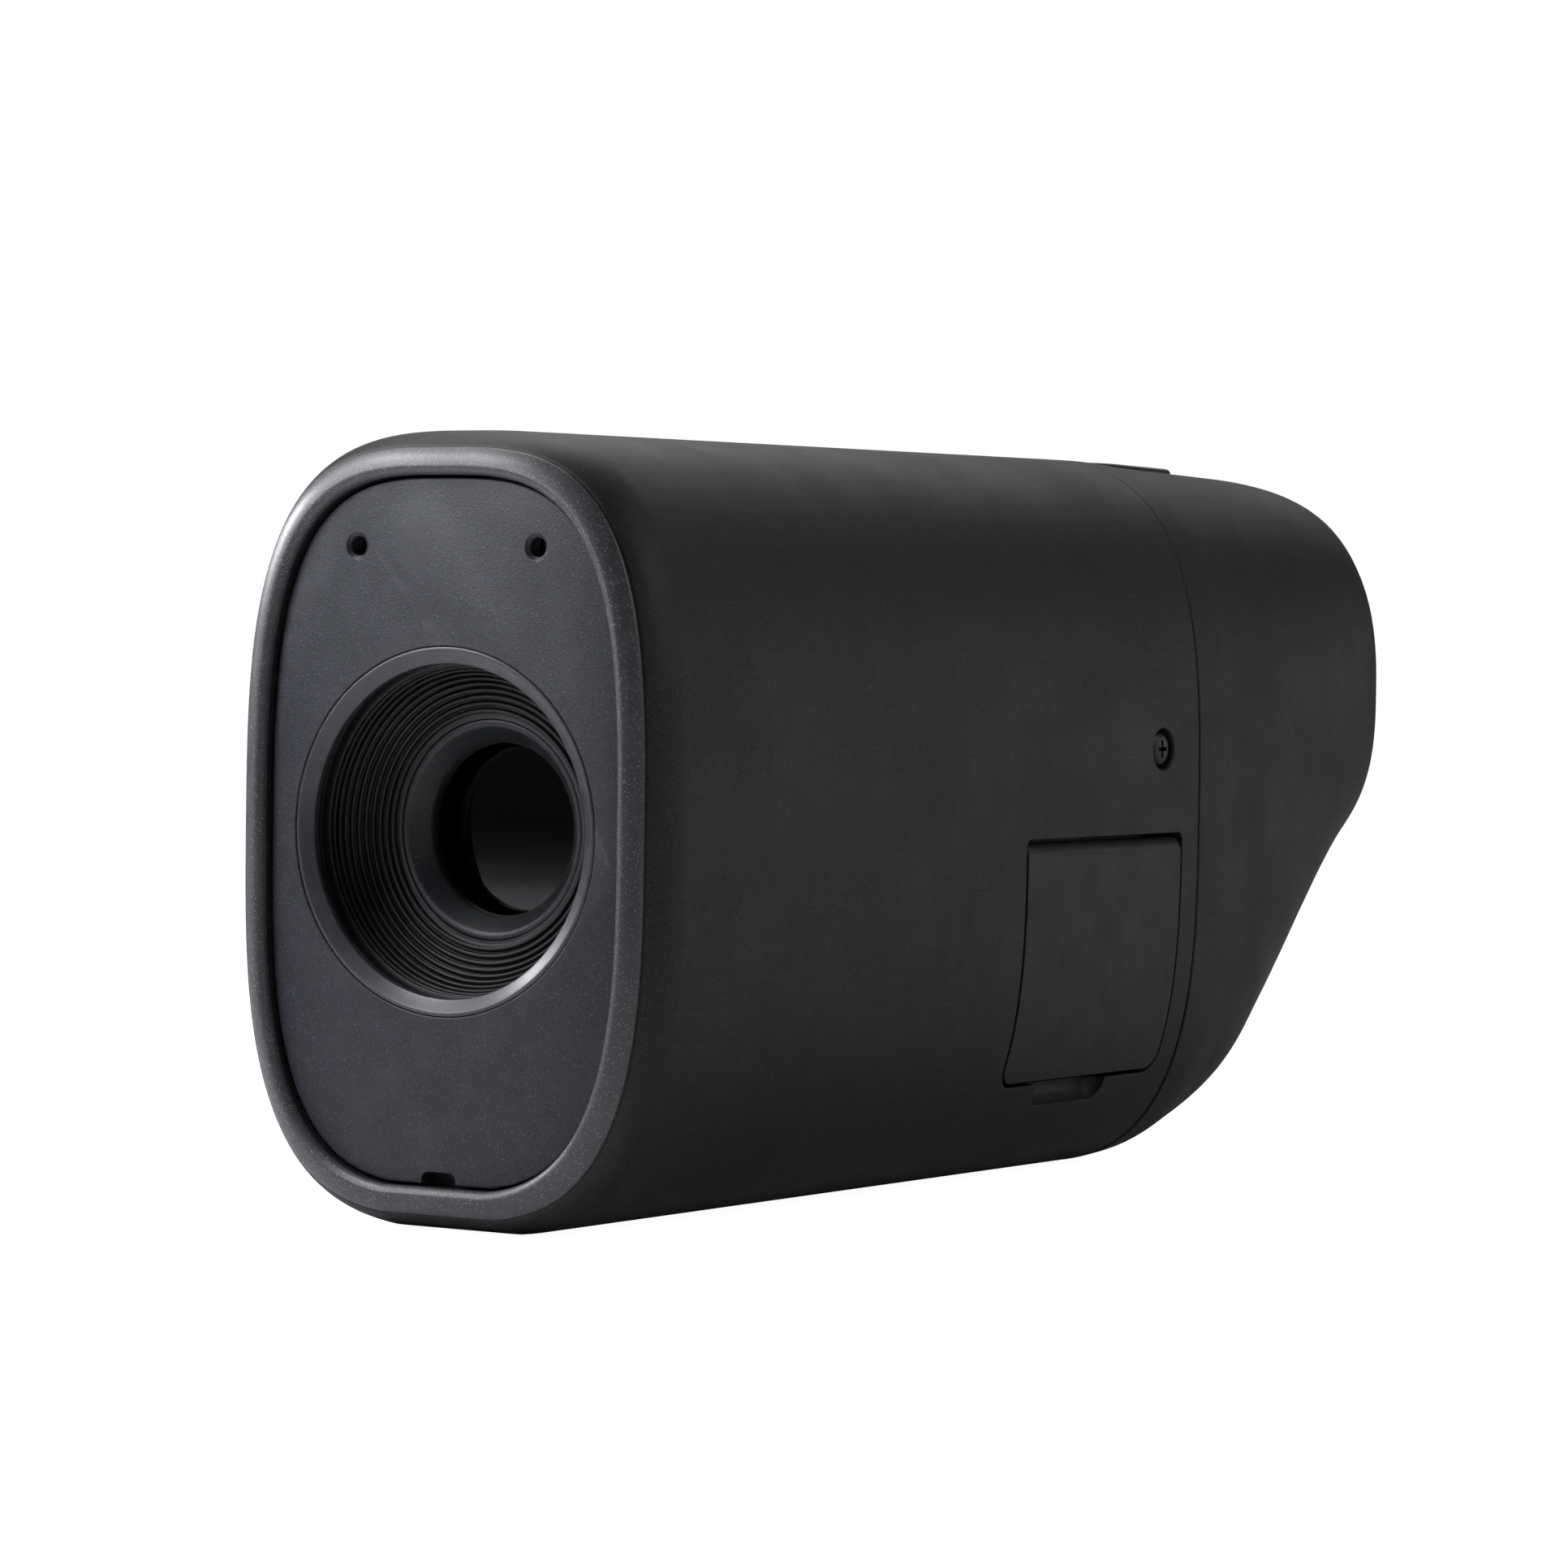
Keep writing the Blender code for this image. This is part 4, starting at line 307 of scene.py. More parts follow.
plainLook = dict(grainStrength=0.4, specular=0.5, wear=0.5, dust=0.003, soften=0.0, metal=0.0, clear=0.0)
looks = {
    "shellPaint": dict(
        paint=(0.0125, 0.0125, 0.0130), fleck=(0.10, 0.10, 0.104), fleckScale=10500, share=0.13, grain=7200,
        grainDepth=0.010 * mm, grainStrength=0.5, rough=(0.46, 0.60), specular=0.42,
        worn=(0.05, 0.05, 0.052), wear=0.25, dust=0.008, soften=0.14 * mm),
    # front rim band: the shell paint made lighter, with brighter flecks, as a painted highlight for the
    # light the curved rim catches; its higher specular and lower roughness are real finish settings
    "rimPaintedHighlight": dict(
        paint=(0.040, 0.040, 0.045), fleck=(0.34, 0.34, 0.37), fleckScale=10500, share=0.25, grain=7200,
        grainDepth=0.010 * mm, grainStrength=0.5, rough=(0.36, 0.50), specular=0.95,
        worn=(0.07, 0.07, 0.075), wear=0.3, dust=0.006, soften=0.08 * mm),
    "doorPaint": dict(
        paint=(0.0135, 0.0138, 0.0155), fleck=(0.06, 0.06, 0.066), fleckScale=11000, share=0.10, grain=8200,
        grainDepth=0.009 * mm, grainStrength=0.5, rough=(0.44, 0.58), specular=0.45,
        worn=(0.06, 0.06, 0.064), wear=0.3, dust=0.008, soften=0.14 * mm),
    "platePaint": dict(
        paint=(0.0105, 0.0118, 0.0185), fleck=(0.15, 0.165, 0.22), fleckScale=11500, share=0.2, grain=7600,
        grainDepth=0.011 * mm, grainStrength=0.8, rough=(0.40, 0.50), specular=0.6,
        worn=(0.10, 0.10, 0.115), wear=0.4, dust=0.006, soften=0.12 * mm),
    "ringPaint": dict(
        paint=(0.040, 0.039, 0.047), fleck=(0.2, 0.2, 0.23), fleckScale=9600, share=0.05, grain=9000,
        grainDepth=0.006 * mm, rough=(0.30, 0.40), specular=0.75, worn=(0.12, 0.12, 0.14), wear=0.4,
        dust=0.004, soften=0.08 * mm),
    "hoodBlack": dict(
        paint=(0.0075, 0.0080, 0.0085), fleck=(0.05, 0.05, 0.055), fleckScale=8000, share=0.04, grain=9500,
        grainDepth=0.006 * mm, rough=(0.42, 0.56), worn=(0.03, 0.031, 0.034), wear=0.35),
    "cellBlack": dict(
        paint=(0.012, 0.0135, 0.015), fleck=(0.10, 0.11, 0.12), fleckScale=7800, share=0.06, grain=9000,
        grainDepth=0.006 * mm, rough=(0.38, 0.50), specular=0.6, worn=(0.05, 0.055, 0.06)),
    "buttonSatin": dict(
        paint=(0.016, 0.016, 0.017), fleck=(0.06, 0.06, 0.06), fleckScale=6000, share=0.03, grain=8800,
        grainDepth=0.006 * mm, rough=(0.27, 0.38), worn=(0.06, 0.06, 0.062), wear=0.4, dust=0.006),
    "softRubber": dict(
        paint=(0.010, 0.010, 0.0105), fleck=(0.05, 0.05, 0.05), fleckScale=3600, share=0.03, grain=5200,
        grainDepth=0.012 * mm, grainStrength=0.6, rough=(0.66, 0.86), specular=0.3,
        worn=(0.028, 0.028, 0.028), dust=0.02),
    "innerBlack": dict(
        paint=(0.011, 0.011, 0.012), fleck=(0.05, 0.05, 0.05), fleckScale=5200, share=0.03, grain=6400,
        grainDepth=0.008 * mm, rough=(0.48, 0.66), specular=0.4, worn=(0.04, 0.04, 0.04), wear=0.4,
        dust=0.004),
    "windowBlack": dict(
        paint=(0.004, 0.004, 0.006), fleck=(0.02, 0.02, 0.03), fleckScale=3000, share=0.02, grain=3000,
        grainDepth=0.001 * mm, grainStrength=0.1, rough=(0.05, 0.12), specular=0.6, worn=(0.02, 0.02, 0.02),
        wear=0.2),
    "groundSteel": dict(
        paint=(0.50, 0.50, 0.51), fleck=(0.70, 0.70, 0.70), fleckScale=6500, share=0.1, grain=8000,
        grainDepth=0.003 * mm, rough=(0.22, 0.38), worn=(0.75, 0.75, 0.76), dust=0.002, metal=1.0),
    "blackenedSteel": dict(
        paint=(0.013, 0.013, 0.014), fleck=(0.07, 0.07, 0.075), fleckScale=8000, share=0.06, grain=9000,
        grainDepth=0.004 * mm, rough=(0.30, 0.44), specular=0.6, worn=(0.12, 0.12, 0.13), wear=0.6,
        metal=0.3),
    "castAlloy": dict(
        paint=(0.30, 0.30, 0.32), fleck=(0.5, 0.5, 0.52), fleckScale=4600, share=0.12, grain=4200,
        grainDepth=0.012 * mm, grainStrength=0.7, rough=(0.42, 0.6), worn=(0.6, 0.6, 0.62), metal=0.9),
    "solderMask": dict(
        paint=(0.006, 0.040, 0.022), fleck=(0.03, 0.12, 0.06), fleckScale=1500, share=0.3, grain=3600,
        grainDepth=0.004 * mm, grainStrength=0.5, rough=(0.26, 0.40), worn=(0.3, 0.25, 0.12)),
    "sensorCeramic": dict(
        paint=(0.045, 0.04, 0.05), fleck=(0.12, 0.1, 0.16), fleckScale=9000, share=0.3, grain=9000,
        grainDepth=0.002 * mm, grainStrength=0.3, rough=(0.16, 0.28), specular=0.6, worn=(0.3, 0.28, 0.2),
        dust=0.001),
    "cellFoil": dict(
        paint=(0.38, 0.39, 0.41), fleck=(0.55, 0.55, 0.57), fleckScale=2600, share=0.1, grain=900,
        grainDepth=0.03 * mm, grainStrength=0.5, rough=(0.24, 0.44), worn=(0.6, 0.6, 0.6), wear=0.4,
        dust=0.002, metal=0.8),
    "contactGold": dict(
        paint=(0.72, 0.50, 0.20), fleck=(0.9, 0.7, 0.35), fleckScale=7000, share=0.1, grain=8000,
        grainDepth=0.002 * mm, grainStrength=0.3, rough=(0.2, 0.34), worn=(0.9, 0.75, 0.45), dust=0.001,
        metal=1.0),
    "frontGlass": dict(
        paint=(0.004, 0.004, 0.006), fleck=(0.008, 0.008, 0.012), fleckScale=900, share=0.2, grain=500,
        grainDepth=0.0005 * mm, grainStrength=0.05, rough=(0.0, 0.03), specular=0.07,
        worn=(0.008, 0.008, 0.01), wear=0.1, dust=0.0, clear=1.0),
    "coatedGlass": dict(
        paint=(0.93, 0.95, 0.97), fleck=(0.96, 0.97, 1.0), fleckScale=900, share=0.2, grain=500,
        grainDepth=0.0005 * mm, grainStrength=0.05, rough=(0.0, 0.03), specular=0.35, worn=(0.9, 0.9, 0.9),
        wear=0.1, dust=0.002, clear=1.0),
}


def useGroup(tree, name, values):
    node = tree.nodes.new("ShaderNodeGroup")
    node.node_tree = groups[name]
    node.name = name
    return feed(tree, node, values)


def makeLook(name, own):
    look = {**plainLook, **own}
    made = bpy.data.materials.new(name)
    made.use_nodes = True
    tree = made.node_tree
    place = addNode(tree, "TexCoord").outputs["Object"]
    grain = useGroup(tree, "fineGrain", {"Vector": place, "Scale": look["grain"]})
    flecks = useGroup(tree, "metalFlecks", {
        "Vector": place, "Paint": look["paint"], "Fleck": look["fleck"],
        "Scale": look["fleckScale"], "Share": look["share"],
    })
    wear = useGroup(tree, "edgeWear", {
        "Vector": place, "Color": flecks.outputs["Color"], "Worn": look["worn"], "Amount": look["wear"],
    })
    dust = useGroup(tree, "settledDust", {
        "Vector": place, "Color": wear.outputs["Color"], "Amount": look["dust"],
    })
    bump = addNode(tree, "Bump", {
        "Strength": look["grainStrength"], "Distance": look["grainDepth"], "Height": grain.outputs["Height"],
    })
    if look["soften"]:
        softEdge = addNode(tree, "Bevel", {"Radius": look["soften"]}, samples=4)
        feed(tree, bump, {"Normal": softEdge.outputs["Normal"]})
    feed(tree, tree.nodes["Principled BSDF"], {
        "Base Color": dust.outputs["Color"],
        "Roughness": ranged(tree, grain.outputs["Mottle"], 0.0, 1.0, *look["rough"]),
        "Normal": bump.outputs["Normal"],
        "Metallic": look["metal"], "Transmission Weight": look["clear"],
        "Specular IOR Level": look["specular"],
    })
    return made


finishes = {name: makeLook(name, look) for name, look in looks.items()}
print("finishes made:", len(finishes))

# Shape helpers


def softened(points, radius, steps=4, closed=True):
    made = []
    count = len(points)
    for index, corner in enumerate(points):
        if not closed and index in (0, count - 1):
            made.append(corner)
            continue
        here = Vector(corner)
        before = Vector(points[index - 1])
        after = Vector(points[(index + 1) % count])
        reach = min(radius, (before - here).length * 0.45, (after - here).length * 0.45)
        start = here + (before - here).normalized() * reach
        end = here + (after - here).normalized() * reach
        for step in range(steps + 1):
            share = step / steps
            bend = start * (1 - share) ** 2 + here * 2 * share * (1 - share) + end * share ** 2
            made.append(tuple(bend))
    return made


def loftMesh(rings, closed=False):
    made = bmesh.new()
    rows = [[made.verts.new(point) for point in ring] for ring in rings]
    pairs = list(zip(rows, rows[1:]))
    if closed:
        pairs.append((rows[-1], rows[0]))
    else:
        made.faces.new(rows[0])
        made.faces.new(rows[-1])
    for near, far in pairs:
        for index in range(len(near)):
            after = (index + 1) % len(near)
            made.faces.new((near[index], near[after], far[after], far[index]))
    return made


def turnedMesh(profile, origin, axis, steps=96):
    along = Vector(axis).normalized()
    side = along.orthogonal().normalized()
    other = along.cross(side)
    rings = []
    for radius, run in profile:
        ring = []
        for step in range(steps):
            angle = 2 * math.pi * step / steps
            spoke = side * math.cos(angle) + other * math.sin(angle)
            ring.append(Vector(origin) + spoke * radius + along * run)
        rings.append(ring)
    made = loftMesh(rings, closed=True)
    bmesh.ops.remove_doubles(made, verts=made.verts, dist=1e-7)
    return made


def rodProfile(radius, low, high):
    return [(0, low), (radius, low), (radius, high), (0, high)]


def quarterArc(steps):
    # sine and cosine pairs from 0 to 90 degrees
    angles = [math.pi / 2 * step / steps for step in range(steps + 1)]
    return [(math.sin(angle), math.cos(angle)) for angle in angles]


def roundedOutline(low, high, radii, steps=8):
    corners = (
        ((high[0], high[1]), radii[2], 0),
        ((low[0], high[1]), radii[3], 90),
        ((low[0], low[1]), radii[0], 180),
        ((high[0], low[1]), radii[1], 270),
    )
    outline = []
    for (u, v), radius, turn in corners:
        centreU = u - math.copysign(radius, u - (low[0] + high[0]) / 2)
        centreV = v - math.copysign(radius, v - (low[1] + high[1]) / 2)
        for step in range(steps + 1):
            angle = math.radians(turn + 90 * step / steps)
            outline.append((centreU + radius * math.cos(angle), centreV + radius * math.sin(angle)))
    return outline


def prismMesh(outline, axis, low, high):
    rings = []
    for level in (low, high):
        ring = []
        for u, v in outline:
            point = [u, v]
            point.insert(axis, level)
            ring.append(Vector(point))
        rings.append(ring)
    return loftMesh(rings)


def meshObject(name, made):
    bmesh.ops.recalc_face_normals(made, faces=made.faces)
    mesh = bpy.data.meshes.new(name)
    made.to_mesh(mesh)
    made.free()
    piece = bpy.data.objects.new(name, mesh)
    bpy.context.scene.collection.objects.link(piece)
    return piece


def carve(piece, made, operation="DIFFERENCE"):
    tool = meshObject("tool", made)
    step = piece.modifiers.new("carve", "BOOLEAN")
    step.operation = operation
    step.object = tool
    evaluated = piece.evaluated_get(bpy.context.evaluated_depsgraph_get())
    result = bpy.data.meshes.new_from_object(evaluated)
    piece.modifiers.clear()
    spent = piece.data
    piece.data = result
    result.name = piece.name
    bpy.data.meshes.remove(spent)
    bpy.data.objects.remove(tool, do_unlink=True)


def dress(piece, look, body, nodes=(), sharp=32):
    piece.data.materials.clear()
    piece.data.materials.append(finishes[look])
    piece.data.shade_smooth()
    piece.data.set_sharp_from_angle(angle=math.radians(sharp))
    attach(piece, body)
    if nodes:
        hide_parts(*nodes)


def middleOf(node):
    low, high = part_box(node)
    return (low + high) / 2


# Body sections, shared by the sleeve, the rear shell, the door and the plate

bodyShape = dict(
    topPower=3.2, bottomPower=3.1, restCut=0.15 * mm, wall=1.5 * mm, gap=0.3 * mm, points=216,
    fineSteps=900,
)
halfWidth = (cadHigh.x - cadLow.x) / 2
bodyHeight = cadHigh.z
frontY = cadLow.y
axisZ = bodyHeight / 2
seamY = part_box("main_housing")[1].y


def sectionRing(width, top, bottom, topPower, bottomPower, y):
    centre = (top + bottom) / 2
    fine = []
    for step in range(bodyShape["fineSteps"]):
        angle = 2 * math.pi * step / bodyShape["fineSteps"]
        across, up = math.cos(angle), math.sin(angle)
        power = topPower if up >= 0 else bottomPower
        height = top - centre if up >= 0 else centre - bottom + bodyShape["restCut"]
        x = width * math.copysign(abs(across) ** (2 / power), across)
        z = centre + height * math.copysign(abs(up) ** (2 / power), up)
        fine.append((x, max(z, bottom)))
    return evenlySpaced(fine, bodyShape["points"], y)


def evenlySpaced(fine, count, y):
    lengths = [0.0]
    loop = fine + fine[:1]
    for (x1, z1), (x2, z2) in zip(loop, loop[1:]):
        lengths.append(lengths[-1] + math.hypot(x2 - x1, z2 - z1))
    ring = []
    place = 0
    for step in range(count):
        wanted = lengths[-1] * step / count
        while lengths[place + 1] < wanted:
            place += 1
        share = (wanted - lengths[place]) / max(lengths[place + 1] - lengths[place], 1e-12)
        (x1, z1), (x2, z2) = loop[place], loop[place + 1]
        ring.append(Vector((x1 + (x2 - x1) * share, y, z1 + (z2 - z1) * share)))
    return ring


def bodyRing(inset, y):
    width, top = halfWidth - inset, bodyHeight - inset
    return sectionRing(width, top, inset, bodyShape["topPower"], bodyShape["bottomPower"], y)


def bodySide(z, inset=0.0):
    rise = z - axisZ
    power = bodyShape["topPower"] if rise >= 0 else bodyShape["bottomPower"]
    height = axisZ - inset if rise >= 0 else axisZ + bodyShape["restCut"] - inset
    return (halfWidth - inset) * (1 - (abs(rise) / height) ** power) ** (1 / power)


# Front sleeve with its rounded rim

# the band depth sets how far back from the front face the rim's painted highlight (the lighter copy of the
# shell paint) reaches
sleeve = dict(
    rimInset=2.6 * mm, rimDepth=4.1 * mm, pocketInset=2.9 * mm, lipInset=2.3 * mm, paintedHighlightDepth=0.85 * mm,
    lipSteps=9, rimSteps=38, creaseAt=math.radians(37), creaseWidth=math.radians(1.9),
    creaseDepth=0.11 * mm, bandSwell=0.06 * mm, seamChamfer=0.09 * mm, bodyRings=12, ledgeInset=4.4 * mm,
    ledgeDepth=2.5 * mm, ledgeBack=3.7 * mm,
)
doorCut = dict(
    lowerCorner=1.6 * mm, upperCorner=0.6 * mm, nailRadius=1.25 * mm, nailLength=9.4 * mm,
    nailDrop=0.75 * mm, nailShift=-0.6 * mm, pinBore=0.45 * mm,
)
screwSeat = dict(
    radius=1.45 * mm, depth=0.9 * mm, flare=0.12 * mm, shank=0.8 * mm, reach=3.2 * mm,
)


def rimProfile():
    made = []
    start = math.asin(1 - sleeve["lipInset"] / sleeve["rimInset"])
    startDepth = sleeve["rimDepth"] * (1 - math.cos(start))
    radius = sleeve["pocketInset"] - sleeve["lipInset"]
    for sine, cosine in quarterArc(sleeve["lipSteps"])[:-1]:
        made.append((sleeve["lipInset"] + radius * cosine, startDepth + radius * (1 - sine)))
    run = math.pi / 2 - start
    angles = [start + run * step / sleeve["rimSteps"] for step in range(sleeve["rimSteps"] + 1)]
    angles += [sleeve["creaseAt"] + sleeve["creaseWidth"] * step / 3 for step in range(-8, 9)]
    for angle in sorted(angles):
        wide, deep = sleeve["rimInset"] * math.cos(angle), sleeve["rimDepth"] * math.sin(angle)
        away = (angle - sleeve["creaseAt"]) / sleeve["creaseWidth"]
        sink = sleeve["creaseDepth"] * math.exp(-away * away)
        if angle > sleeve["creaseAt"]:
            fade = (angle - sleeve["creaseAt"]) / (math.pi / 2 - sleeve["creaseAt"])
            sink += sleeve["bandSwell"] * (1 - fade) ** 2
        long = math.hypot(wide, deep)
        inset = sleeve["rimInset"] * (1 - math.sin(angle)) + sink * deep / long
        made.append((inset, sleeve["rimDepth"] * (1 - math.cos(angle)) + sink * wide / long))
    return made


def doorCutter():
    low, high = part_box("port_door")
    gap = bodyShape["gap"]
    lower, upper = doorCut["lowerCorner"], doorCut["upperCorner"]
    outline = roundedOutline(
        (low.y - gap, low.z - gap), (high.y + gap, high.z + gap), (lower, lower, upper, upper)
    )
    return prismMesh(outline, 0, halfWidth / 2, 2 * halfWidth)


def capsuleProfile(radius, length, steps=8):
    straight = length / 2 - radius
    half = [(radius * sine, straight + radius * cosine) for sine, cosine in quarterArc(steps)]
    return [(reach, -along) for reach, along in half] + half[::-1]


def buildSleeve():
    rings = [bodyRing(inset, frontY + depth) for inset, depth in rimProfile()]
    bodyStart = frontY + sleeve["rimDepth"]
    chamfer = sleeve["seamChamfer"]
    for step in range(1, sleeve["bodyRings"] + 1):
        rings.append(bodyRing(0, bodyStart + (seamY - chamfer - bodyStart) * step / sleeve["bodyRings"]))
    rings.append(bodyRing(chamfer, seamY))
    wall = bodyShape["wall"]
    rings.append(bodyRing(wall, seamY))
    rings.append(bodyRing(wall, frontY + sleeve["ledgeBack"]))
    rings.append(bodyRing(sleeve["ledgeInset"], frontY + sleeve["ledgeBack"]))
    rings.append(bodyRing(sleeve["ledgeInset"], frontY + sleeve["ledgeDepth"]))
    rings.append(bodyRing(sleeve["pocketInset"], frontY + sleeve["ledgeDepth"]))
    piece = meshObject("front_sleeve", loftMesh(rings, closed=True))
    carve(piece, doorCutter())
    low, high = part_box("port_door")
    nailZ = low.z - doorCut["nailDrop"]
    nail = (bodySide(nailZ), (low.y + high.y) / 2 + doorCut["nailShift"], nailZ)
    capsule = capsuleProfile(doorCut["nailRadius"], doorCut["nailLength"])
    carve(piece, turnedMesh(capsule, nail, (0, 1, 0), 40))
    pinLow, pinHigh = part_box("door_hinge_pin")
    pin = (pinLow + pinHigh) / 2
    bore = rodProfile(doorCut["pinBore"], pinLow.y - pin.y, pinHigh.y - pin.y)
    carve(piece, turnedMesh(bore, pin, (0, 1, 0), 24))
    for side, node in ((1, "housing_screw_right"), (-1, "housing_screw_left")):
        middle = middleOf(node)
        face = bodySide(middle.z)
        radius, flare = screwSeat["radius"], screwSeat["flare"]
        seat = [
            (0, -screwSeat["reach"]), (screwSeat["shank"], -screwSeat["reach"]),
            (screwSeat["shank"], -screwSeat["depth"]), (radius, -screwSeat["depth"]),
            (radius, -flare), (radius + flare, 0.02 * mm), (radius + flare, 2 * mm), (0, 2 * mm),
        ]
        carve(piece, turnedMesh(seat, (side * face, middle.y, middle.z), (side, 0, 0), 64))
    for node, up in roundButtons.items():
        low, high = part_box(node)
        edge = bodyHeight if up > 0 else 0.0
        radius = buttonShape["radius"] + bodyShape["gap"]
        hole = [
            (0, -3 * mm), (radius, -3 * mm), (radius, -0.14 * mm),
            (radius + 0.16 * mm, 0.02 * mm), (radius + 0.16 * mm, 1 * mm), (0, 1 * mm),
        ]
        carve(piece, turnedMesh(hole, (0, (low.y + high.y) / 2, edge), (0, 0, up), 72))
    dress(piece, "shellPaint", "root", ["main_housing"], sharp=40)
    # faces of the front rim band get the lighter copy of the shell paint, a painted highlight for the light
    # falling on the curved rim
    piece.data.materials.append(finishes["rimPaintedHighlight"])
    for face in piece.data.polygons:
        if face.center.y < frontY + sleeve["paintedHighlightDepth"]:
            face.material_index = 1


roundButtons = {"power_button": 1, "menu_button": 1, "photo_button": -1, "video_button": -1}
buttonShape = dict(
    radius=2.7 * mm, sink=0.25 * mm, dish=0.16 * mm, edge=0.22 * mm, flange=3.4 * mm, flangeTop=1.8 * mm,
    flangeHeight=0.8 * mm, stem=1.0 * mm, stemEnd=3.75 * mm, dishShare=0.86, oblongCorner=0.8,
)

buildSleeve()
print("sleeve done")

# Port door

doorShape = dict(
    thickness=1.2 * mm, lowerCorner=1.3 * mm, upperCorner=0.5 * mm, knuckle=0.75 * mm,
    knuckleEnd=0.6 * mm, rearReach=0.1 * mm, pinClearance=0.45 * mm,
)


def buildDoor():
    low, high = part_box("port_door")
    before, behind = low.y - 2 * mm, high.y + 2 * mm
    thick = doorShape["thickness"]
    rings = [bodyRing(0, before), bodyRing(0, behind), bodyRing(thick, behind), bodyRing(thick, before)]
    piece = meshObject("port_door_panel", loftMesh(rings, closed=True))
    lower, upper = doorShape["lowerCorner"], doorShape["upperCorner"]
    outline = roundedOutline(
        (low.y, low.z), (high.y + doorShape["rearReach"], high.z), (lower, lower, upper, upper)
    )
    carve(piece, prismMesh(outline, 0, halfWidth / 2, 2 * halfWidth), "INTERSECT")
    pin = middleOf("door_hinge_pin")
    trim = roundedOutline((before, pin.z), (behind, high.z + 1 * mm), (0.01 * mm,) * 4, 1)
    carve(piece, prismMesh(trim, 0, pin.x - 2 * doorShape["knuckle"], 2 * halfWidth))
    length = high.y - low.y
    end = doorShape["rearReach"]
    knuckle = softened(rodProfile(doorShape["knuckle"], 0, length + end), doorShape["knuckleEnd"], 5)
    carve(piece, turnedMesh(knuckle, (pin.x, low.y, pin.z), (0, 1, 0), 48), "UNION")
    bore = rodProfile(doorShape["pinClearance"], -mm, length + mm)
    carve(piece, turnedMesh(bore, (pin.x, low.y, pin.z), (0, 1, 0), 32))
    dress(piece, "doorPaint", "door", ["port_door"], sharp=40)


buildDoor()
print("door done")

# Rear shell with its slanting underside

rearShape = dict(
    # share of the length behind the seam, side in, top down, underside up (mm), curve power
    sections=(
        (0.00, 0.0, 0.0, 0.0, 3.15), (0.08, 0.0, 0.0, 0.2, 3.15), (0.20, 0.1, 0.2, 1.2, 3.1),
        (0.32, 0.2, 0.4, 2.8, 3.1), (0.42, 0.4, 0.5, 5.7, 3.05), (0.52, 0.6, 0.6, 9.1, 3.0),
        (0.61, 0.85, 0.7, 12.2, 2.95), (0.70, 1.2, 0.8, 15.0, 2.9), (0.78, 1.5, 1.0, 17.3, 2.85),
        (0.85, 1.8, 1.4, 19.0, 2.8), (0.90, 2.2, 2.4, 19.9, 2.75), (0.94, 2.8, 4.0, 20.6, 2.7),
        (0.975, 3.9, 6.2, 21.4, 2.65), (1.0, 5.2, 7.8, 22.0, 2.6),
    ),
    rings=84, crowding=1.35, rearLip=0.3 * mm, faceRounding=0.5 * mm, seamChamfer=0.08 * mm,
    seamGap=0.14 * mm, spigotWall=1.2 * mm, spigotLength=3.8 * mm,
    # share of the shell's length at which each inner ring stands
    innerShares=(0.95, 0.9, 0.82, 0.7, 0.55, 0.4, 0.25, 0.12), pocketCorner=0.7 * mm, pocketRun=3.2 * mm,
    pocketRise=2.3 * mm, pocketDeep=2.4 * mm, blockWall=1.2 * mm, blockAhead=0.4 * mm,
    blockCorner=0.4 * mm, barHole=0.85 * mm, barReach=3.1 * mm, windowGap=0.15 * mm,
)
rearFaceY = cadHigh.y - rearShape["rearLip"]


def slopeAt(rows, index, column):
    if index in (0, len(rows) - 1):
        return None
    before = (rows[index][column] - rows[index - 1][column]) / (rows[index][0] - rows[index - 1][0])
    after = (rows[index + 1][column] - rows[index][column]) / (rows[index + 1][0] - rows[index][0])
    if before * after <= 0:
        return 0.0
    return 2 * before * after / (before + after)


def smoothRow(rows, share):
    index = 0
    while index < len(rows) - 2 and share > rows[index + 1][0]:
        index += 1
    start, end = rows[index], rows[index + 1]
    span = end[0] - start[0]
    t = (share - start[0]) / span
    made = []
    for column in range(1, len(start)):
        straight = (end[column] - start[column]) / span
        slopes = [slopeAt(rows, index, column), slopeAt(rows, index + 1, column)]
        first, last = (straight if slope is None else slope for slope in slopes)
        made.append(
            start[column] * (2 * t**3 - 3 * t**2 + 1)
            + first * span * (t**3 - 2 * t**2 + t)
            + end[column] * (3 * t**2 - 2 * t**3)
            + last * span * (t**3 - t**2)
        )
    return made


def rearRing(share, inset=0.0, y=None):
    side, drop, rise, power = smoothRow(rearShape["sections"], share)
    place = seamY + share * (rearFaceY - seamY) if y is None else y
    top, bottom = bodyHeight - drop * mm - inset, rise * mm + inset
    return sectionRing(halfWidth - side * mm - inset, top, bottom, power, power, place)


def ellipseRing(wide, high, y, z, count=None):
    count = count or bodyShape["points"]
    ring = []
    for step in range(count):
        angle = 2 * math.pi * step / count
        ring.append(Vector((wide * math.cos(angle), y, z + high * math.sin(angle))))
    return ring


def boxMesh(low, high, radius=0.0, axis=0, steps=5):
    u, v = [i for i in range(3) if i != axis]
    outline = roundedOutline((low[u], low[v]), (high[u], high[v]), (max(radius, 1e-6),) * 4, steps)
    return prismMesh(outline, axis, low[axis], high[axis])


def grown(node, by):
    low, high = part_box(node)
    return [low[i] - by for i in range(3)], [high[i] + by for i in range(3)]


def zoomCapBox():
    low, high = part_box("zoom_button")
    rim = buttonShape["flange"] - buttonShape["radius"]
    return (low.x + rim, low.y + rim), (high.x - rim, high.y - rim)


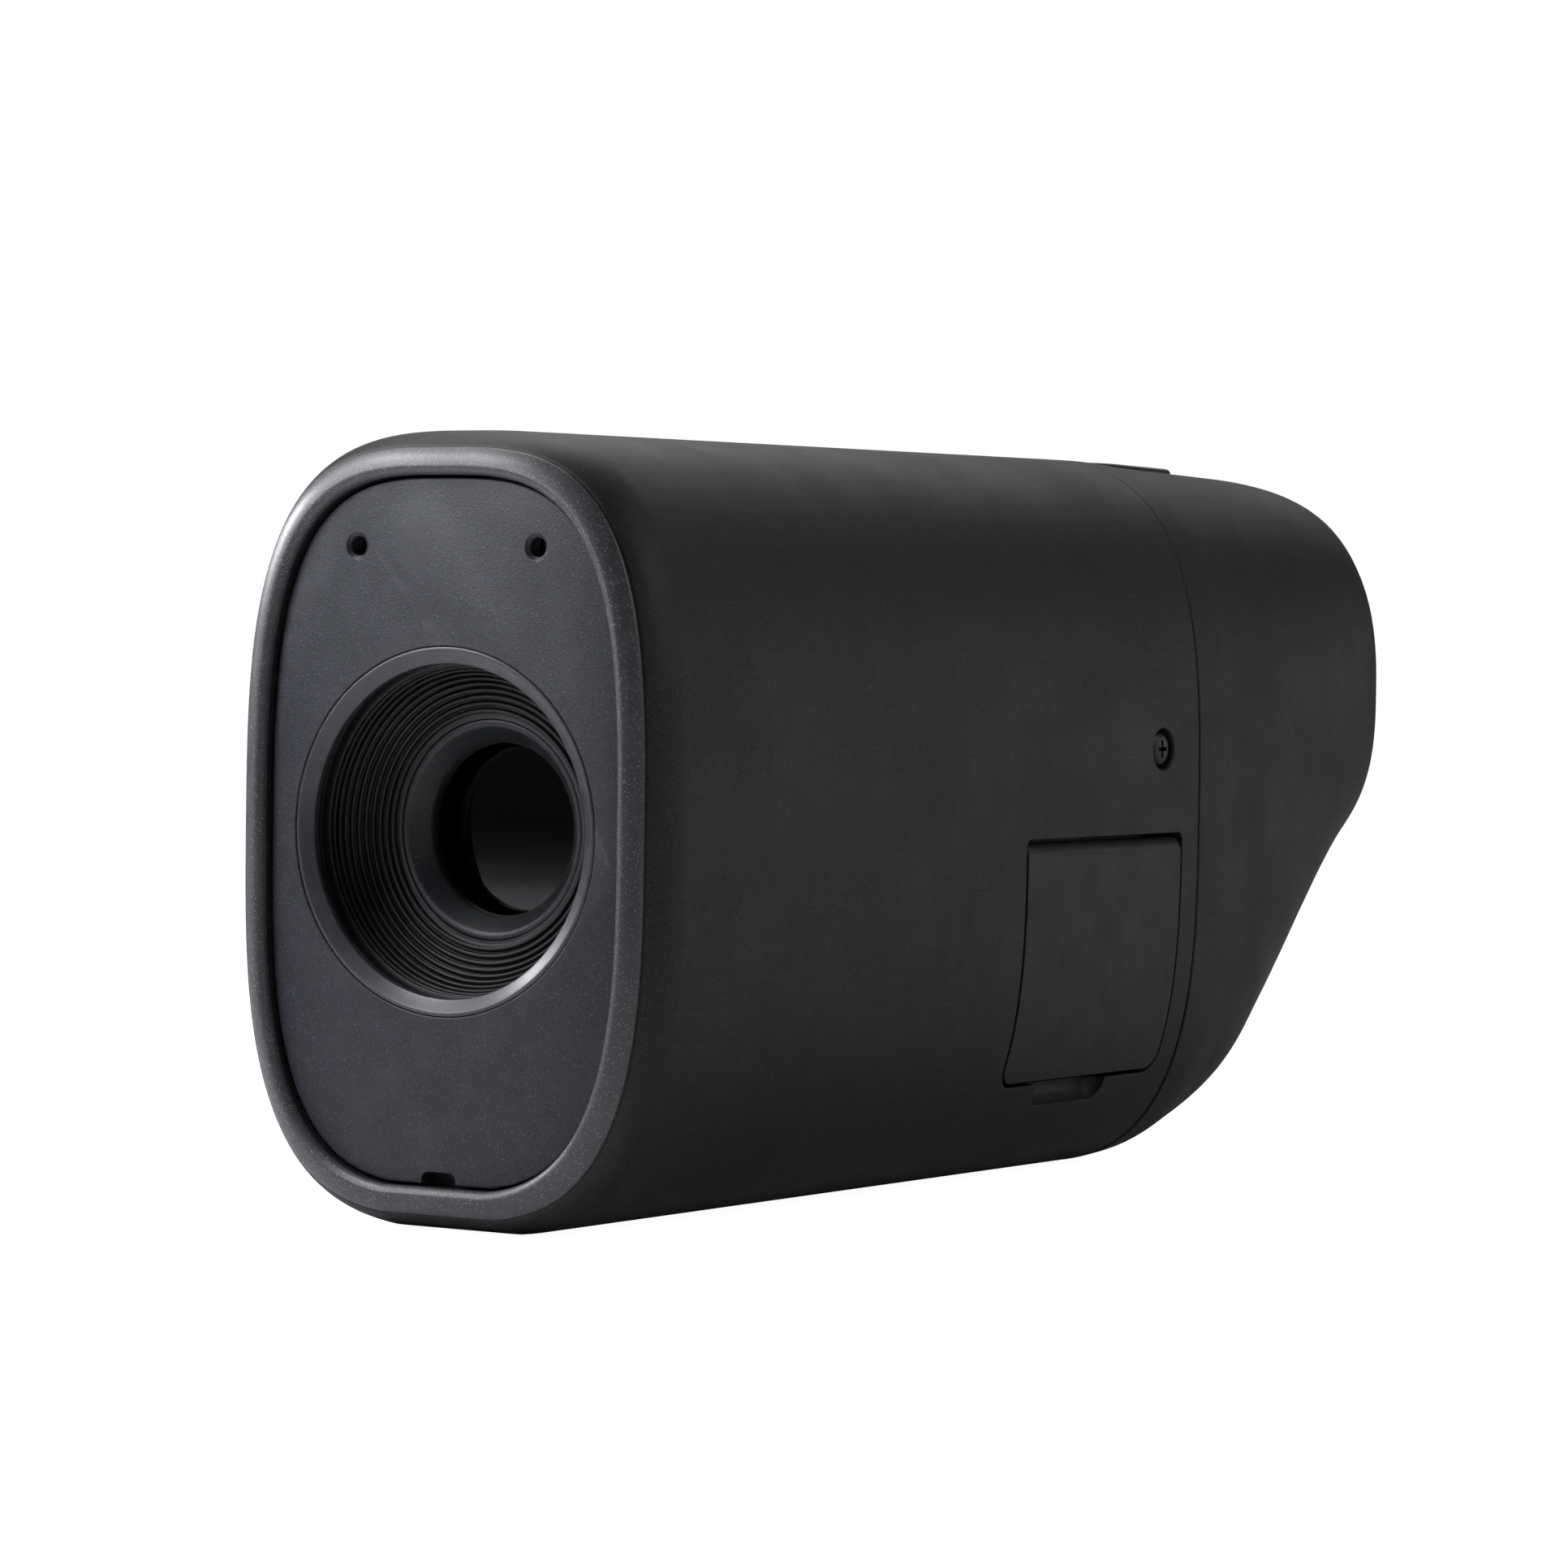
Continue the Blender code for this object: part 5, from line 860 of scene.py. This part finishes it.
def buildRearShell():
    gap, wall = bodyShape["gap"], bodyShape["wall"]
    outer = wall + gap
    inner = outer + rearShape["spigotWall"]
    startY = seamY + rearShape["seamGap"]
    spigotY = seamY - rearShape["spigotLength"]
    firstShare = rearShape["seamGap"] / (rearFaceY - seamY)
    rings = [bodyRing(inner, spigotY), bodyRing(outer, spigotY), bodyRing(outer, startY)]
    rings.append(rearRing(firstShare, rearShape["seamChamfer"]))
    rings.append(rearRing(firstShare + rearShape["seamChamfer"] / (rearFaceY - seamY)))
    for step in range(1, rearShape["rings"] + 1):
        share = 1 - (1 - step / rearShape["rings"]) ** rearShape["crowding"]
        if share > 2 * firstShare:
            rings.append(rearRing(share))
    rounding = rearShape["faceRounding"]
    rings[-1] = rearRing(1.0, 0.0, rearFaceY - rounding * 0.5)
    rings.append(rearRing(1.0, rounding * 0.35, rearFaceY - rounding * 0.15))
    rings.append(rearRing(1.0, rounding, rearFaceY))
    eye = middleOf("eyecup")
    low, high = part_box("eyecup")
    opening = ((high.x - low.x) / 2 + gap, (high.z - low.z) / 2 + gap)
    backIn = rearFaceY - wall
    rings.append(ellipseRing(opening[0] + 0.1 * mm, opening[1] + 0.1 * mm, rearFaceY, eye.z))
    rings.append(ellipseRing(*opening, rearFaceY - 0.1 * mm, eye.z))
    rings.append(ellipseRing(*opening, backIn, eye.z))
    for share in rearShape["innerShares"]:
        rings.append(rearRing(share, wall, min(seamY + share * (rearFaceY - seamY), backIn)))
    rings.append(bodyRing(inner, startY + wall))
    piece = meshObject("rear_shell", loftMesh(rings, closed=True))

    bar = middleOf("strap_bar")
    run, rise = rearShape["pocketRun"], rearShape["pocketRise"]
    thick = rearShape["blockWall"]
    pocketLow = (-2 * halfWidth, bar.y - run, bar.z - rise)
    pocketHigh = (bar.x + rearShape["pocketDeep"], bar.y + run, bar.z + rise)
    blockLow = (bar.x - rearShape["blockAhead"], pocketLow[1] - thick, pocketLow[2] - thick)
    blockHigh = [value + thick for value in pocketHigh]
    carve(piece, boxMesh(blockLow, blockHigh, rearShape["blockCorner"]), "UNION")
    carve(piece, boxMesh(pocketLow, pocketHigh, rearShape["pocketCorner"]))
    barHole = rodProfile(rearShape["barHole"], -rearShape["barReach"], rearShape["barReach"])
    carve(piece, turnedMesh(barHole, bar, (0, 0, 1), 32))
    (x1, y1), (x2, y2) = zoomCapBox()
    corner = buttonShape["oblongCorner"] * (x2 + gap)
    outline = roundedOutline((x1 - gap, y1 - gap), (x2 + gap, y2 + gap), (corner,) * 4, 14)
    carve(piece, prismMesh(outline, 2, bodyHeight - 3 * wall, bodyHeight + wall))
    wheel = middleOf("dioptre_wheel")
    low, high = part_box("dioptre_wheel")
    reach, radius = (high.z - low.z) / 2 + gap, (high.y - low.y) / 2 + gap
    carve(piece, turnedMesh(rodProfile(radius, -reach, reach), wheel, (0, 0, 1), 96))
    low, high = grown("eye_sensor_window", rearShape["windowGap"])
    high[1] += wall
    carve(piece, boxMesh(low, high, 0.5 * (high[2] - low[2]) - 0.01 * mm, axis=1))
    dress(piece, "shellPaint", "root", ["rear_housing"], sharp=40)


buildRearShell()
print("rear shell done")

# Face plate

plateShape = dict(
    inset=3.05 * mm, edge=0.14 * mm, thickness=1.2 * mm, lensGap=0.04 * mm, micHole=0.62 * mm,
    micFlare=0.26 * mm, micFlareDepth=0.22 * mm, notchWidth=2.7 * mm, notchTop=3.85 * mm,
    notchCorner=0.55 * mm,
)


def buildPlate():
    low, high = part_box("front_plate")
    inset, edge = plateShape["inset"], plateShape["edge"]
    rings = []
    for sine, cosine in quarterArc(4):
        rings.append(bodyRing(inset + edge * (1 - sine), low.y + edge * (1 - cosine)))
    rings.append(bodyRing(inset, high.y))
    piece = meshObject("face_plate", loftMesh(rings))
    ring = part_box("lens_trim_ring")
    radius = (ring[1].x - ring[0].x) / 2 + plateShape["lensGap"]
    flare = 0.05 * mm
    hole = [(0, -mm), (radius + flare + mm, -mm), (radius, flare), (radius, 3 * mm), (0, 3 * mm)]
    carve(piece, turnedMesh(hole, (0, low.y, axisZ), (0, 1, 0), 144))
    for node in ("microphone_right", "microphone_left"):
        middle = middleOf(node)
        wide, flare, deep = plateShape["micHole"], plateShape["micFlare"], plateShape["micFlareDepth"]
        hole = [(0, -flare), (wide + 2 * flare, -deep), (wide, deep), (wide, 3 * mm), (0, 3 * mm)]
        carve(piece, turnedMesh(hole, (middle.x, low.y, middle.z), (0, 1, 0), 40))
    half = plateShape["notchWidth"] / 2
    corner = plateShape["notchCorner"]
    outline = roundedOutline((-half, mm), (half, plateShape["notchTop"]), (corner,) * 4)
    carve(piece, prismMesh(outline, 1, low.y - mm, high.y + mm))
    dress(piece, "platePaint", "root", ["front_plate"], sharp=40)


buildPlate()

# Trim ring, ribbed hood, retaining ring and front glass

ringShape = dict(
    radius=11.7 * mm, inner=10.6 * mm, face=0.22 * mm, slope=0.5 * mm, edge=0.1 * mm,
)


def buildTrimRing():
    low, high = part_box("lens_trim_ring")
    thick = high.y - low.y
    outer, inner = ringShape["radius"], ringShape["inner"]
    profile = [
        (outer, thick), (outer, 0.04 * mm), (outer - ringShape["face"], 0.0),
        (inner, ringShape["slope"]), (inner, thick),
    ]
    piece = meshObject(
        "trim_ring", turnedMesh(softened(profile, ringShape["edge"]), (0, low.y, axisZ), (0, 1, 0), 192))
    dress(piece, "ringPaint", "root", ["lens_trim_ring"])


hoodShape = dict(
    ribs=11, frontRadius=10.5 * mm, rearRadius=7.3 * mm, groove=0.30 * mm, land=0.58, round=0.08 * mm,
    throat=11.2 * mm, throatDepth=0.7 * mm, floor=3.55 * mm,
)


def buildHood():
    low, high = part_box("baffle_hood")
    wide = hoodShape["frontRadius"] - hoodShape["rearRadius"]
    deep = hoodShape["floor"] - hoodShape["throatDepth"]

    def bowl(share, sink):
        angle = math.pi / 2 * share
        radius = hoodShape["rearRadius"] + wide * math.cos(angle) + sink * math.cos(angle)
        return radius, hoodShape["throatDepth"] + deep * math.sin(angle) + sink * math.sin(angle)

    profile = [(hoodShape["throat"], 0.0), (hoodShape["throat"], hoodShape["throatDepth"])]
    for rib in range(hoodShape["ribs"]):
        start, end = rib / hoodShape["ribs"], (rib + hoodShape["land"]) / hoodShape["ribs"]
        profile += [bowl(start, hoodShape["groove"]), bowl(start + 0.01, 0.0), bowl(end, 0.0)]
        profile.append(bowl(end + 0.01, hoodShape["groove"]))
    outer, length = (high.x - low.x) / 2, high.y - low.y
    corners = softened(profile, hoodShape["round"], 3, closed=False)
    corners += [(hoodShape["rearRadius"], length), (outer, length), (outer, 0.0)]
    piece = meshObject("ribbed_hood", turnedMesh(corners, (0, low.y, axisZ), (0, 1, 0), 144))
    dress(piece, "hoodBlack", "root", ["baffle_hood"], sharp=50)


cellShape = dict(
    nose=7.1 * mm, aperture=5.55 * mm, seat=1.3 * mm, bore=6.5 * mm, wall=1.1 * mm, flange=9.5 * mm,
    flangeThickness=1.0 * mm, noseRound=0.32 * mm,
)


def buildCell():
    low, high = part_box("lens_cell")
    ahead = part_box("baffle_hood")[1].y - low.y
    length = high.y - low.y
    nose, seat = cellShape["nose"], cellShape["seat"]
    front = softened(
        [(nose, ahead + 0.9 * mm), (nose, ahead), (nose - 0.45 * mm, ahead),
         (cellShape["aperture"], ahead + seat), (cellShape["aperture"], ahead + seat + 0.5 * mm)],
        cellShape["noseRound"], 5, closed=False)
    bore, wall = cellShape["bore"], cellShape["wall"]
    profile = front + [
        (bore, ahead + seat + 0.6 * mm), (bore, length), (bore + wall, length),
        (bore + wall, cellShape["flangeThickness"]), (cellShape["flange"], cellShape["flangeThickness"]),
        (cellShape["flange"], 0.0), (nose, 0.0),
    ]
    piece = meshObject("retaining_ring", turnedMesh(profile, (0, low.y, axisZ), (0, 1, 0), 144))
    dress(piece, "cellBlack", "root", ["lens_cell"], sharp=50)


lensShapes = {
    # node: (body, how far each face bulges, edge chamfer)
    "front_lens": ("root", 0.35 * mm, 0.12 * mm),
    "zoom_lens": ("zoom_group", 0.7 * mm, 0.10 * mm),
    "focus_lens": ("focus_group", 0.7 * mm, 0.10 * mm),
    "stabilizer_lens": ("stabilizer_pitch", 0.28 * mm, 0.08 * mm),
    "eyepiece_lens": ("eyepiece_group", 1.0 * mm, 0.12 * mm),
}


def buildLens(node, body, sag, chamfer, steps=10):
    low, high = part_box(node)
    radius = (high.x - low.x) / 2
    thick = high.y - low.y
    face = []
    for step in range(steps + 1):
        share = step / steps
        face.append((radius * share, sag * share * share))
    face[-1] = (radius - chamfer, face[-1][1])
    front = face + [(radius, sag + chamfer)]
    back = [(r, thick - along) for r, along in reversed(front)]
    origin = ((low.x + high.x) / 2, low.y, (low.z + high.z) / 2)
    name = node.replace("_lens", "_glass")
    piece = meshObject(name, turnedMesh(front + back, origin, (0, 1, 0), 96))
    look = "frontGlass" if node == "front_lens" else "coatedGlass"
    dress(piece, look, body, [node])


buildTrimRing()
buildHood()
buildCell()
for lensNode, (lensBody, lensSag, lensChamfer) in lensShapes.items():
    buildLens(lensNode, lensBody, lensSag, lensChamfer)
print("front face and lenses done")

# Round buttons


def buildRoundButton(node, up):
    low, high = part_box(node)
    radius, sink, edge = buttonShape["radius"], buttonShape["sink"], buttonShape["edge"]
    dish = []
    for step in range(9):
        share = step / 8
        reach = radius * buttonShape["dishShare"] * share
        dish.append((reach, -sink - buttonShape["dish"] * (1 - share * share)))
    corner = (radius - edge, -sink - edge)
    rim = [(corner[0] + edge * sine, corner[1] + edge * cosine) for sine, cosine in quarterArc(5)[1:]]
    top = buttonShape["flangeTop"]
    bottom = top + buttonShape["flangeHeight"]
    rest = [
        (radius, -top), (buttonShape["flange"], -top), (buttonShape["flange"], -bottom),
        (buttonShape["stem"], -bottom), (buttonShape["stem"], -buttonShape["stemEnd"]),
        (0, -buttonShape["stemEnd"]),
    ]
    level = bodyHeight if up > 0 else 0.0
    origin = (0, (low.y + high.y) / 2, level)
    name = node.replace("_button", "_cap")
    piece = meshObject(name, turnedMesh(dish + rim + rest, origin, (0, 0, up), 72))
    dress(piece, "buttonSatin", name, [node])


for buttonNode, buttonSide in roundButtons.items():
    buildRoundButton(buttonNode, buttonSide)

# Zoom button: a tilted oblong cap with a shallow dish

zoomShape = dict(
    tilt=math.radians(1.3), sink=0.25 * mm, edge=0.3 * mm, dish=0.28 * mm, rings=22, flangeRise=0.15 * mm,
    flangeHeight=0.8 * mm, stemOverlap=0.4 * mm,
)


def buildZoomButton():
    low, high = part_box("zoom_button")
    (x1, y1), (x2, y2) = zoomCapBox()
    centre = (y1 + y2) / 2
    wide, run = (x2 - x1) / 2, (y2 - y1) / 2

    def topAt(y):
        return bodyHeight - zoomShape["sink"] - (y - centre) * math.tan(zoomShape["tilt"])

    def outlineRing(inset, level):
        radius = buttonShape["oblongCorner"] * (wide - inset)
        flat = roundedOutline(
            (-wide + inset, centre - run + inset), (wide - inset, centre + run - inset), (radius,) * 4, 14)
        return [Vector((x, y, level(y))) for x, y in flat]

    rim = buttonShape["flange"] - buttonShape["radius"]
    flangeTop = low.z + zoomShape["flangeRise"] + zoomShape["flangeHeight"]
    flangeLow = flangeTop - zoomShape["flangeHeight"]
    rings = [outlineRing(-rim, lambda y: flangeLow), outlineRing(-rim, lambda y: flangeTop)]
    rings.append(outlineRing(0, lambda y: flangeTop))
    edge = zoomShape["edge"]
    for sine, cosine in quarterArc(5):
        rings.append(outlineRing(edge * (1 - cosine), lambda y, drop=edge * (1 - sine): topAt(y) - drop))
    inner = rings[-1]
    for step in range(1, zoomShape["rings"]):
        share = 1 - step / zoomShape["rings"]
        sink = zoomShape["dish"] * (1 - share ** 2)
        flat = [(point.x * share, centre + (point.y - centre) * share) for point in inner]
        rings.append([Vector((x, y, topAt(y) - sink)) for x, y in flat])
    piece = meshObject("zoom_cap", loftMesh(rings))
    stem = rodProfile(buttonShape["stem"], low.z, flangeTop - zoomShape["stemOverlap"])
    carve(piece, turnedMesh(stem, (0, centre, 0), (0, 0, 1), 40), "UNION")
    dress(piece, "buttonSatin", "zoom_cap", ["zoom_button"], sharp=50)


buildZoomButton()
print("buttons done")

# Cross-head screws and strap bar

screwShape = dict(
    head=1.15 * mm, headHeight=0.6 * mm, crown=0.10 * mm, shank=0.6 * mm, cross=1.25 * mm, slot=0.3 * mm,
    slotDepth=0.38 * mm, slotCorner=0.05 * mm, threadPitch=0.35 * mm, threadDepth=0.09 * mm,
    threadStart=0.2 * mm, domeShare=0.86, shoulderShare=0.62, shoulderRound=0.08 * mm,
)


def buildScrew(node, side):
    low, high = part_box(node)
    head, tall, crown = screwShape["head"], screwShape["headHeight"], screwShape["crown"]
    outerX = max(abs(low.x), abs(high.x))
    length = (high.x - low.x) - tall
    flat = head * screwShape["domeShare"]
    shoulder = [(flat, tall - crown), (head, tall * screwShape["shoulderShare"]), (head, 0.0)]
    profile = [(flat * step / 6, tall - crown * (step / 6) ** 2) for step in range(7)]
    profile += softened(shoulder, screwShape["shoulderRound"], 3, closed=False)[1:]
    crest, pitch = screwShape["shank"], screwShape["threadPitch"]
    root = crest - screwShape["threadDepth"]
    profile.append((root, 0.0))
    for turn in range(int((length - 0.5 * mm) / pitch)):
        run = -screwShape["threadStart"] - turn * pitch
        profile += [(root, run), (crest, run - pitch / 2)]
    profile.append((0.0, -length))
    origin = (side * (outerX - tall), (low.y + high.y) / 2, (low.z + high.z) / 2)
    name = node.replace("housing_screw", "cross_screw")
    piece = meshObject(name, turnedMesh(profile, origin, (side, 0, 0), 48))
    face = side * outerX
    xs = sorted((face - side * screwShape["slotDepth"], face + side * screwShape["slotDepth"]))
    halves = (screwShape["cross"] / 2, screwShape["slot"] / 2)
    for wide, high in (halves, halves[::-1]):
        slotLow = (xs[0], origin[1] - wide, origin[2] - high)
        slotHigh = (xs[1], origin[1] + wide, origin[2] + high)
        carve(piece, boxMesh(slotLow, slotHigh, screwShape["slotCorner"]))
    dress(piece, "blackenedSteel", "root", [node])


buildScrew("housing_screw_right", 1)
buildScrew("housing_screw_left", -1)


strapPin = dict(
    shorter=0.9 * mm, round=0.15 * mm,
)


def buildStrapBar():
    # the lower end stops short, near the place where the shell tapers in
    low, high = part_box("strap_bar")
    low.z += strapPin["shorter"]
    radius = (high.y - low.y) / 2
    length = high.z - low.z
    profile = softened(rodProfile(radius, 0, length), strapPin["round"], 3)
    origin = ((low.x + high.x) / 2, (low.y + high.y) / 2, low.z)
    piece = meshObject("strap_pin", turnedMesh(profile, origin, (0, 0, 1), 40))
    dress(piece, "blackenedSteel", "root", ["strap_bar"])


buildStrapBar()

# Eyecup, dioptre wheel

eyecupShape = dict(
    wall=1.9 * mm, lip=0.75 * mm, innerLip=0.6 * mm, steps=9,
)


def buildEyecup():
    low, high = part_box("eyecup")
    eyeZ = (low.z + high.z) / 2
    wide, tall = (high.x - low.x) / 2, (high.z - low.z) / 2
    lip, wall = eyecupShape["lip"], eyecupShape["wall"]
    rings = [ellipseRing(wide, tall, low.y, eyeZ, 144)]
    arc = quarterArc(eyecupShape["steps"])
    for sine, cosine in arc:
        inset = lip * (1 - cosine)
        rings.append(ellipseRing(wide - inset, tall - inset, high.y - lip * (1 - sine), eyeZ, 144))
    inner = wall - 0.35 * mm
    innerLip = eyecupShape["innerLip"]
    for sine, cosine in arc[1:]:
        inset = inner - innerLip * (1 - sine)
        rings.append(ellipseRing(wide - inset, tall - inset, high.y - innerLip * (1 - cosine), eyeZ, 144))
    rings.append(ellipseRing(wide - wall - 0.3 * mm, tall - wall - 0.3 * mm, low.y, eyeZ, 144))
    piece = meshObject("eyecup_rubber", loftMesh(rings, closed=True))
    dress(piece, "softRubber", "root", ["eyecup"], sharp=50)


buildEyecup()

wheelShape = dict(
    teeth=24, perTooth=8, toothDepth=0.2 * mm, chamfer=0.22 * mm, hub=1.0 * mm, dish=0.25 * mm,
    dishInner=1.9 * mm, dishOuter=3.7 * mm,
)


def buildWheel():
    low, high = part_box("dioptre_wheel")
    centre = (low + high) / 2
    radius = (high.y - low.y) / 2
    tall = (high.z - low.z) / 2
    count = wheelShape["teeth"] * wheelShape["perTooth"]

    def wheelRing(size, z, teeth=0.0):
        ring = []
        for step in range(count):
            angle = 2 * math.pi * step / count
            wave = abs(math.sin(angle * wheelShape["teeth"] / 2)) ** 1.5
            reach = size - wheelShape["toothDepth"] * teeth * wave
            ring.append(Vector((centre.x + reach * math.cos(angle), centre.y + reach * math.sin(angle), z)))
        return ring

    chamfer, dish = wheelShape["chamfer"], wheelShape["dish"]
    half = [
        (wheelShape["hub"], 0.0, 0.0), (wheelShape["dishInner"], 0.0, 0.0),
        (wheelShape["dishInner"] + 0.15 * mm, dish, 0.0), (wheelShape["dishOuter"] - 0.15 * mm, dish, 0.0),
        (wheelShape["dishOuter"], 0.0, 0.0), (radius - chamfer, 0.0, 0.6), (radius, chamfer, 1.0),
    ]
    rings = [wheelRing(size, centre.z - tall + sink, teeth) for size, sink, teeth in half]
    rings += [wheelRing(size, centre.z + tall - sink, teeth) for size, sink, teeth in reversed(half)]
    piece = meshObject("knurled_wheel", loftMesh(rings, closed=True))
    dress(piece, "softRubber", "dioptre_dial", ["dioptre_wheel"], sharp=40)


buildWheel()
print("eyepiece parts done")

# Threaded lead screws

threadShapes = {
    # node: (body, lead)
    "zoom_lead_screw": ("zoom_screw", 2.0 * mm),
    "focus_lead_screw": ("focus_screw", 1.0 * mm),
}


def buildLeadScrew(node, body, lead, depth=0.14 * mm, around=20, perTurn=10):
    low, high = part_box(node)
    radius = (high.z - low.z) / 2
    count = int((high.y - low.y) / lead * perTurn)
    rings = []
    for step in range(count + 1):
        y = low.y + (high.y - low.y) * step / count
        ring = []
        for spoke in range(around):
            angle = 2 * math.pi * spoke / around
            phase = (y / lead - spoke / around) % 1.0
            reach = radius - depth * (1 - abs(2 * phase - 1))
            ring.append(Vector(((low.x + high.x) / 2 + reach * math.cos(angle), y,
                                (low.z + high.z) / 2 + reach * math.sin(angle))))
        rings.append(ring)
    piece = meshObject(node.replace("_lead_screw", "_thread"), loftMesh(rings))
    dress(piece, "groundSteel", body, [node], sharp=60)


for screwNode, (screwBody, screwLead) in threadShapes.items():
    buildLeadScrew(screwNode, screwBody, screwLead)

# Contacts on the socket's tongue, and parts on the boards

contactShape = dict(
    count=12, pitch=0.5 * mm, width=0.26 * mm, length=3.4 * mm, rise=0.04 * mm, tongueHalf=0.4 * mm,
    setBack=0.9 * mm,
)


def mergeBoxes(name, boxes):
    made = bmesh.new()
    for low, high in boxes:
        centre = (Vector(low) + Vector(high)) / 2
        size = Vector(high) - Vector(low)
        place = Matrix.Translation(centre) @ Matrix.Diagonal((*size, 1))
        cube = bmesh.ops.create_cube(made, size=1.0, matrix=place)
        edges = {edge for vert in cube["verts"] for edge in vert.link_edges}
        bmesh.ops.bevel(made, geom=list(edges), offset=0.12 * min(size), segments=1, affect="EDGES")
    return meshObject(name, made)


def buildContacts():
    low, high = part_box("usb_socket")
    middleY, middleZ = (low.y + high.y) / 2, (low.z + high.z) / 2
    front = high.x - contactShape["setBack"]
    boxes = []
    for index in range(contactShape["count"]):
        y = middleY + (index - (contactShape["count"] - 1) / 2) * contactShape["pitch"]
        half = contactShape["width"] / 2
        for side in (1, -1):
            zs = sorted((middleZ + side * contactShape["tongueHalf"],
                         middleZ + side * (contactShape["tongueHalf"] + contactShape["rise"])))
            boxes.append(((front - contactShape["length"], y - half, zs[0]), (front, y + half, zs[1])))
    dress(mergeBoxes("usb_contacts", boxes), "contactGold", "root")


buildContacts()

boardParts = {
    # node: (side the parts stand on, tallest part, count)
    "main_board": ("top", 0.7 * mm, 46),
    "connector_board": ("bottom", 0.5 * mm, 16),
}


def buildBoardParts(node, side, tallest, count):
    low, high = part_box(node)
    keepOut = [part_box(name) for name in ("processor_shield", "usb_socket", "card_socket")]
    draw = random.Random(len(node))
    boxes = []
    while len(boxes) < count:
        wide, deep = draw.uniform(0.5, 2.6) * mm, draw.uniform(0.5, 2.2) * mm
        tall = draw.uniform(0.35, 1.0) * tallest
        x = draw.uniform(low.x + 0.6 * mm, high.x - wide - 0.6 * mm)
        y = draw.uniform(low.y + 0.6 * mm, high.y - deep - 0.6 * mm)
        z = high.z + 0.02 * mm if side == "top" else low.z - tall - 0.02 * mm
        spot = ((x, y, z), (x + wide, y + deep, z + tall))
        others = [(b[0], b[1]) for b in boxes] + keepOut
        if not any(touches(spot, other, 0.3 * mm) for other in others):
            boxes.append(spot)
    dress(mergeBoxes(node + "_parts", boxes), "innerBlack", "root")


def touches(one, other, gap):
    return all(one[0][i] - gap < other[1][i] and other[0][i] - gap < one[1][i] for i in range(3))


for boardNode, (boardSide, boardTallest, boardCount) in boardParts.items():
    buildBoardParts(boardNode, boardSide, boardTallest, boardCount)
print("inner parts done")

# Finishes of the nodes that keep their own shape

carriedOver = {
    "innerBlack": ["lens_barrel", "zoom_carriage", "focus_carriage", "stabilizer_holder", "port_bezel",
                   "eyepiece_holder"],
    "groundSteel": ["guide_rod_upper", "guide_rod_lower", "zoom_motor", "focus_motor", "processor_shield",
                    "door_hinge_pin", "usb_socket", "card_socket", "microphone_right", "microphone_left",
                    "power_switch", "menu_switch", "zoom_switch", "photo_switch", "video_switch"],
    "castAlloy": ["chassis", "stabilizer_frame"],
    "solderMask": ["main_board", "sensor_board", "connector_board", "microphone_board", "top_switch_board",
                   "bottom_switch_board", "viewfinder_board"],
    "sensorCeramic": ["image_sensor"],
    "cellFoil": ["battery"],
    "windowBlack": ["viewfinder_display", "eye_sensor_window"],
    "coatedGlass": ["sensor_cover_glass", "eyepiece_window"],
}
for lookName, nodeNames in carriedOver.items():
    for nodeName in nodeNames:
        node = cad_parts[nodeName]
        node.data.materials.clear()
        node.data.materials.append(finishes[lookName])
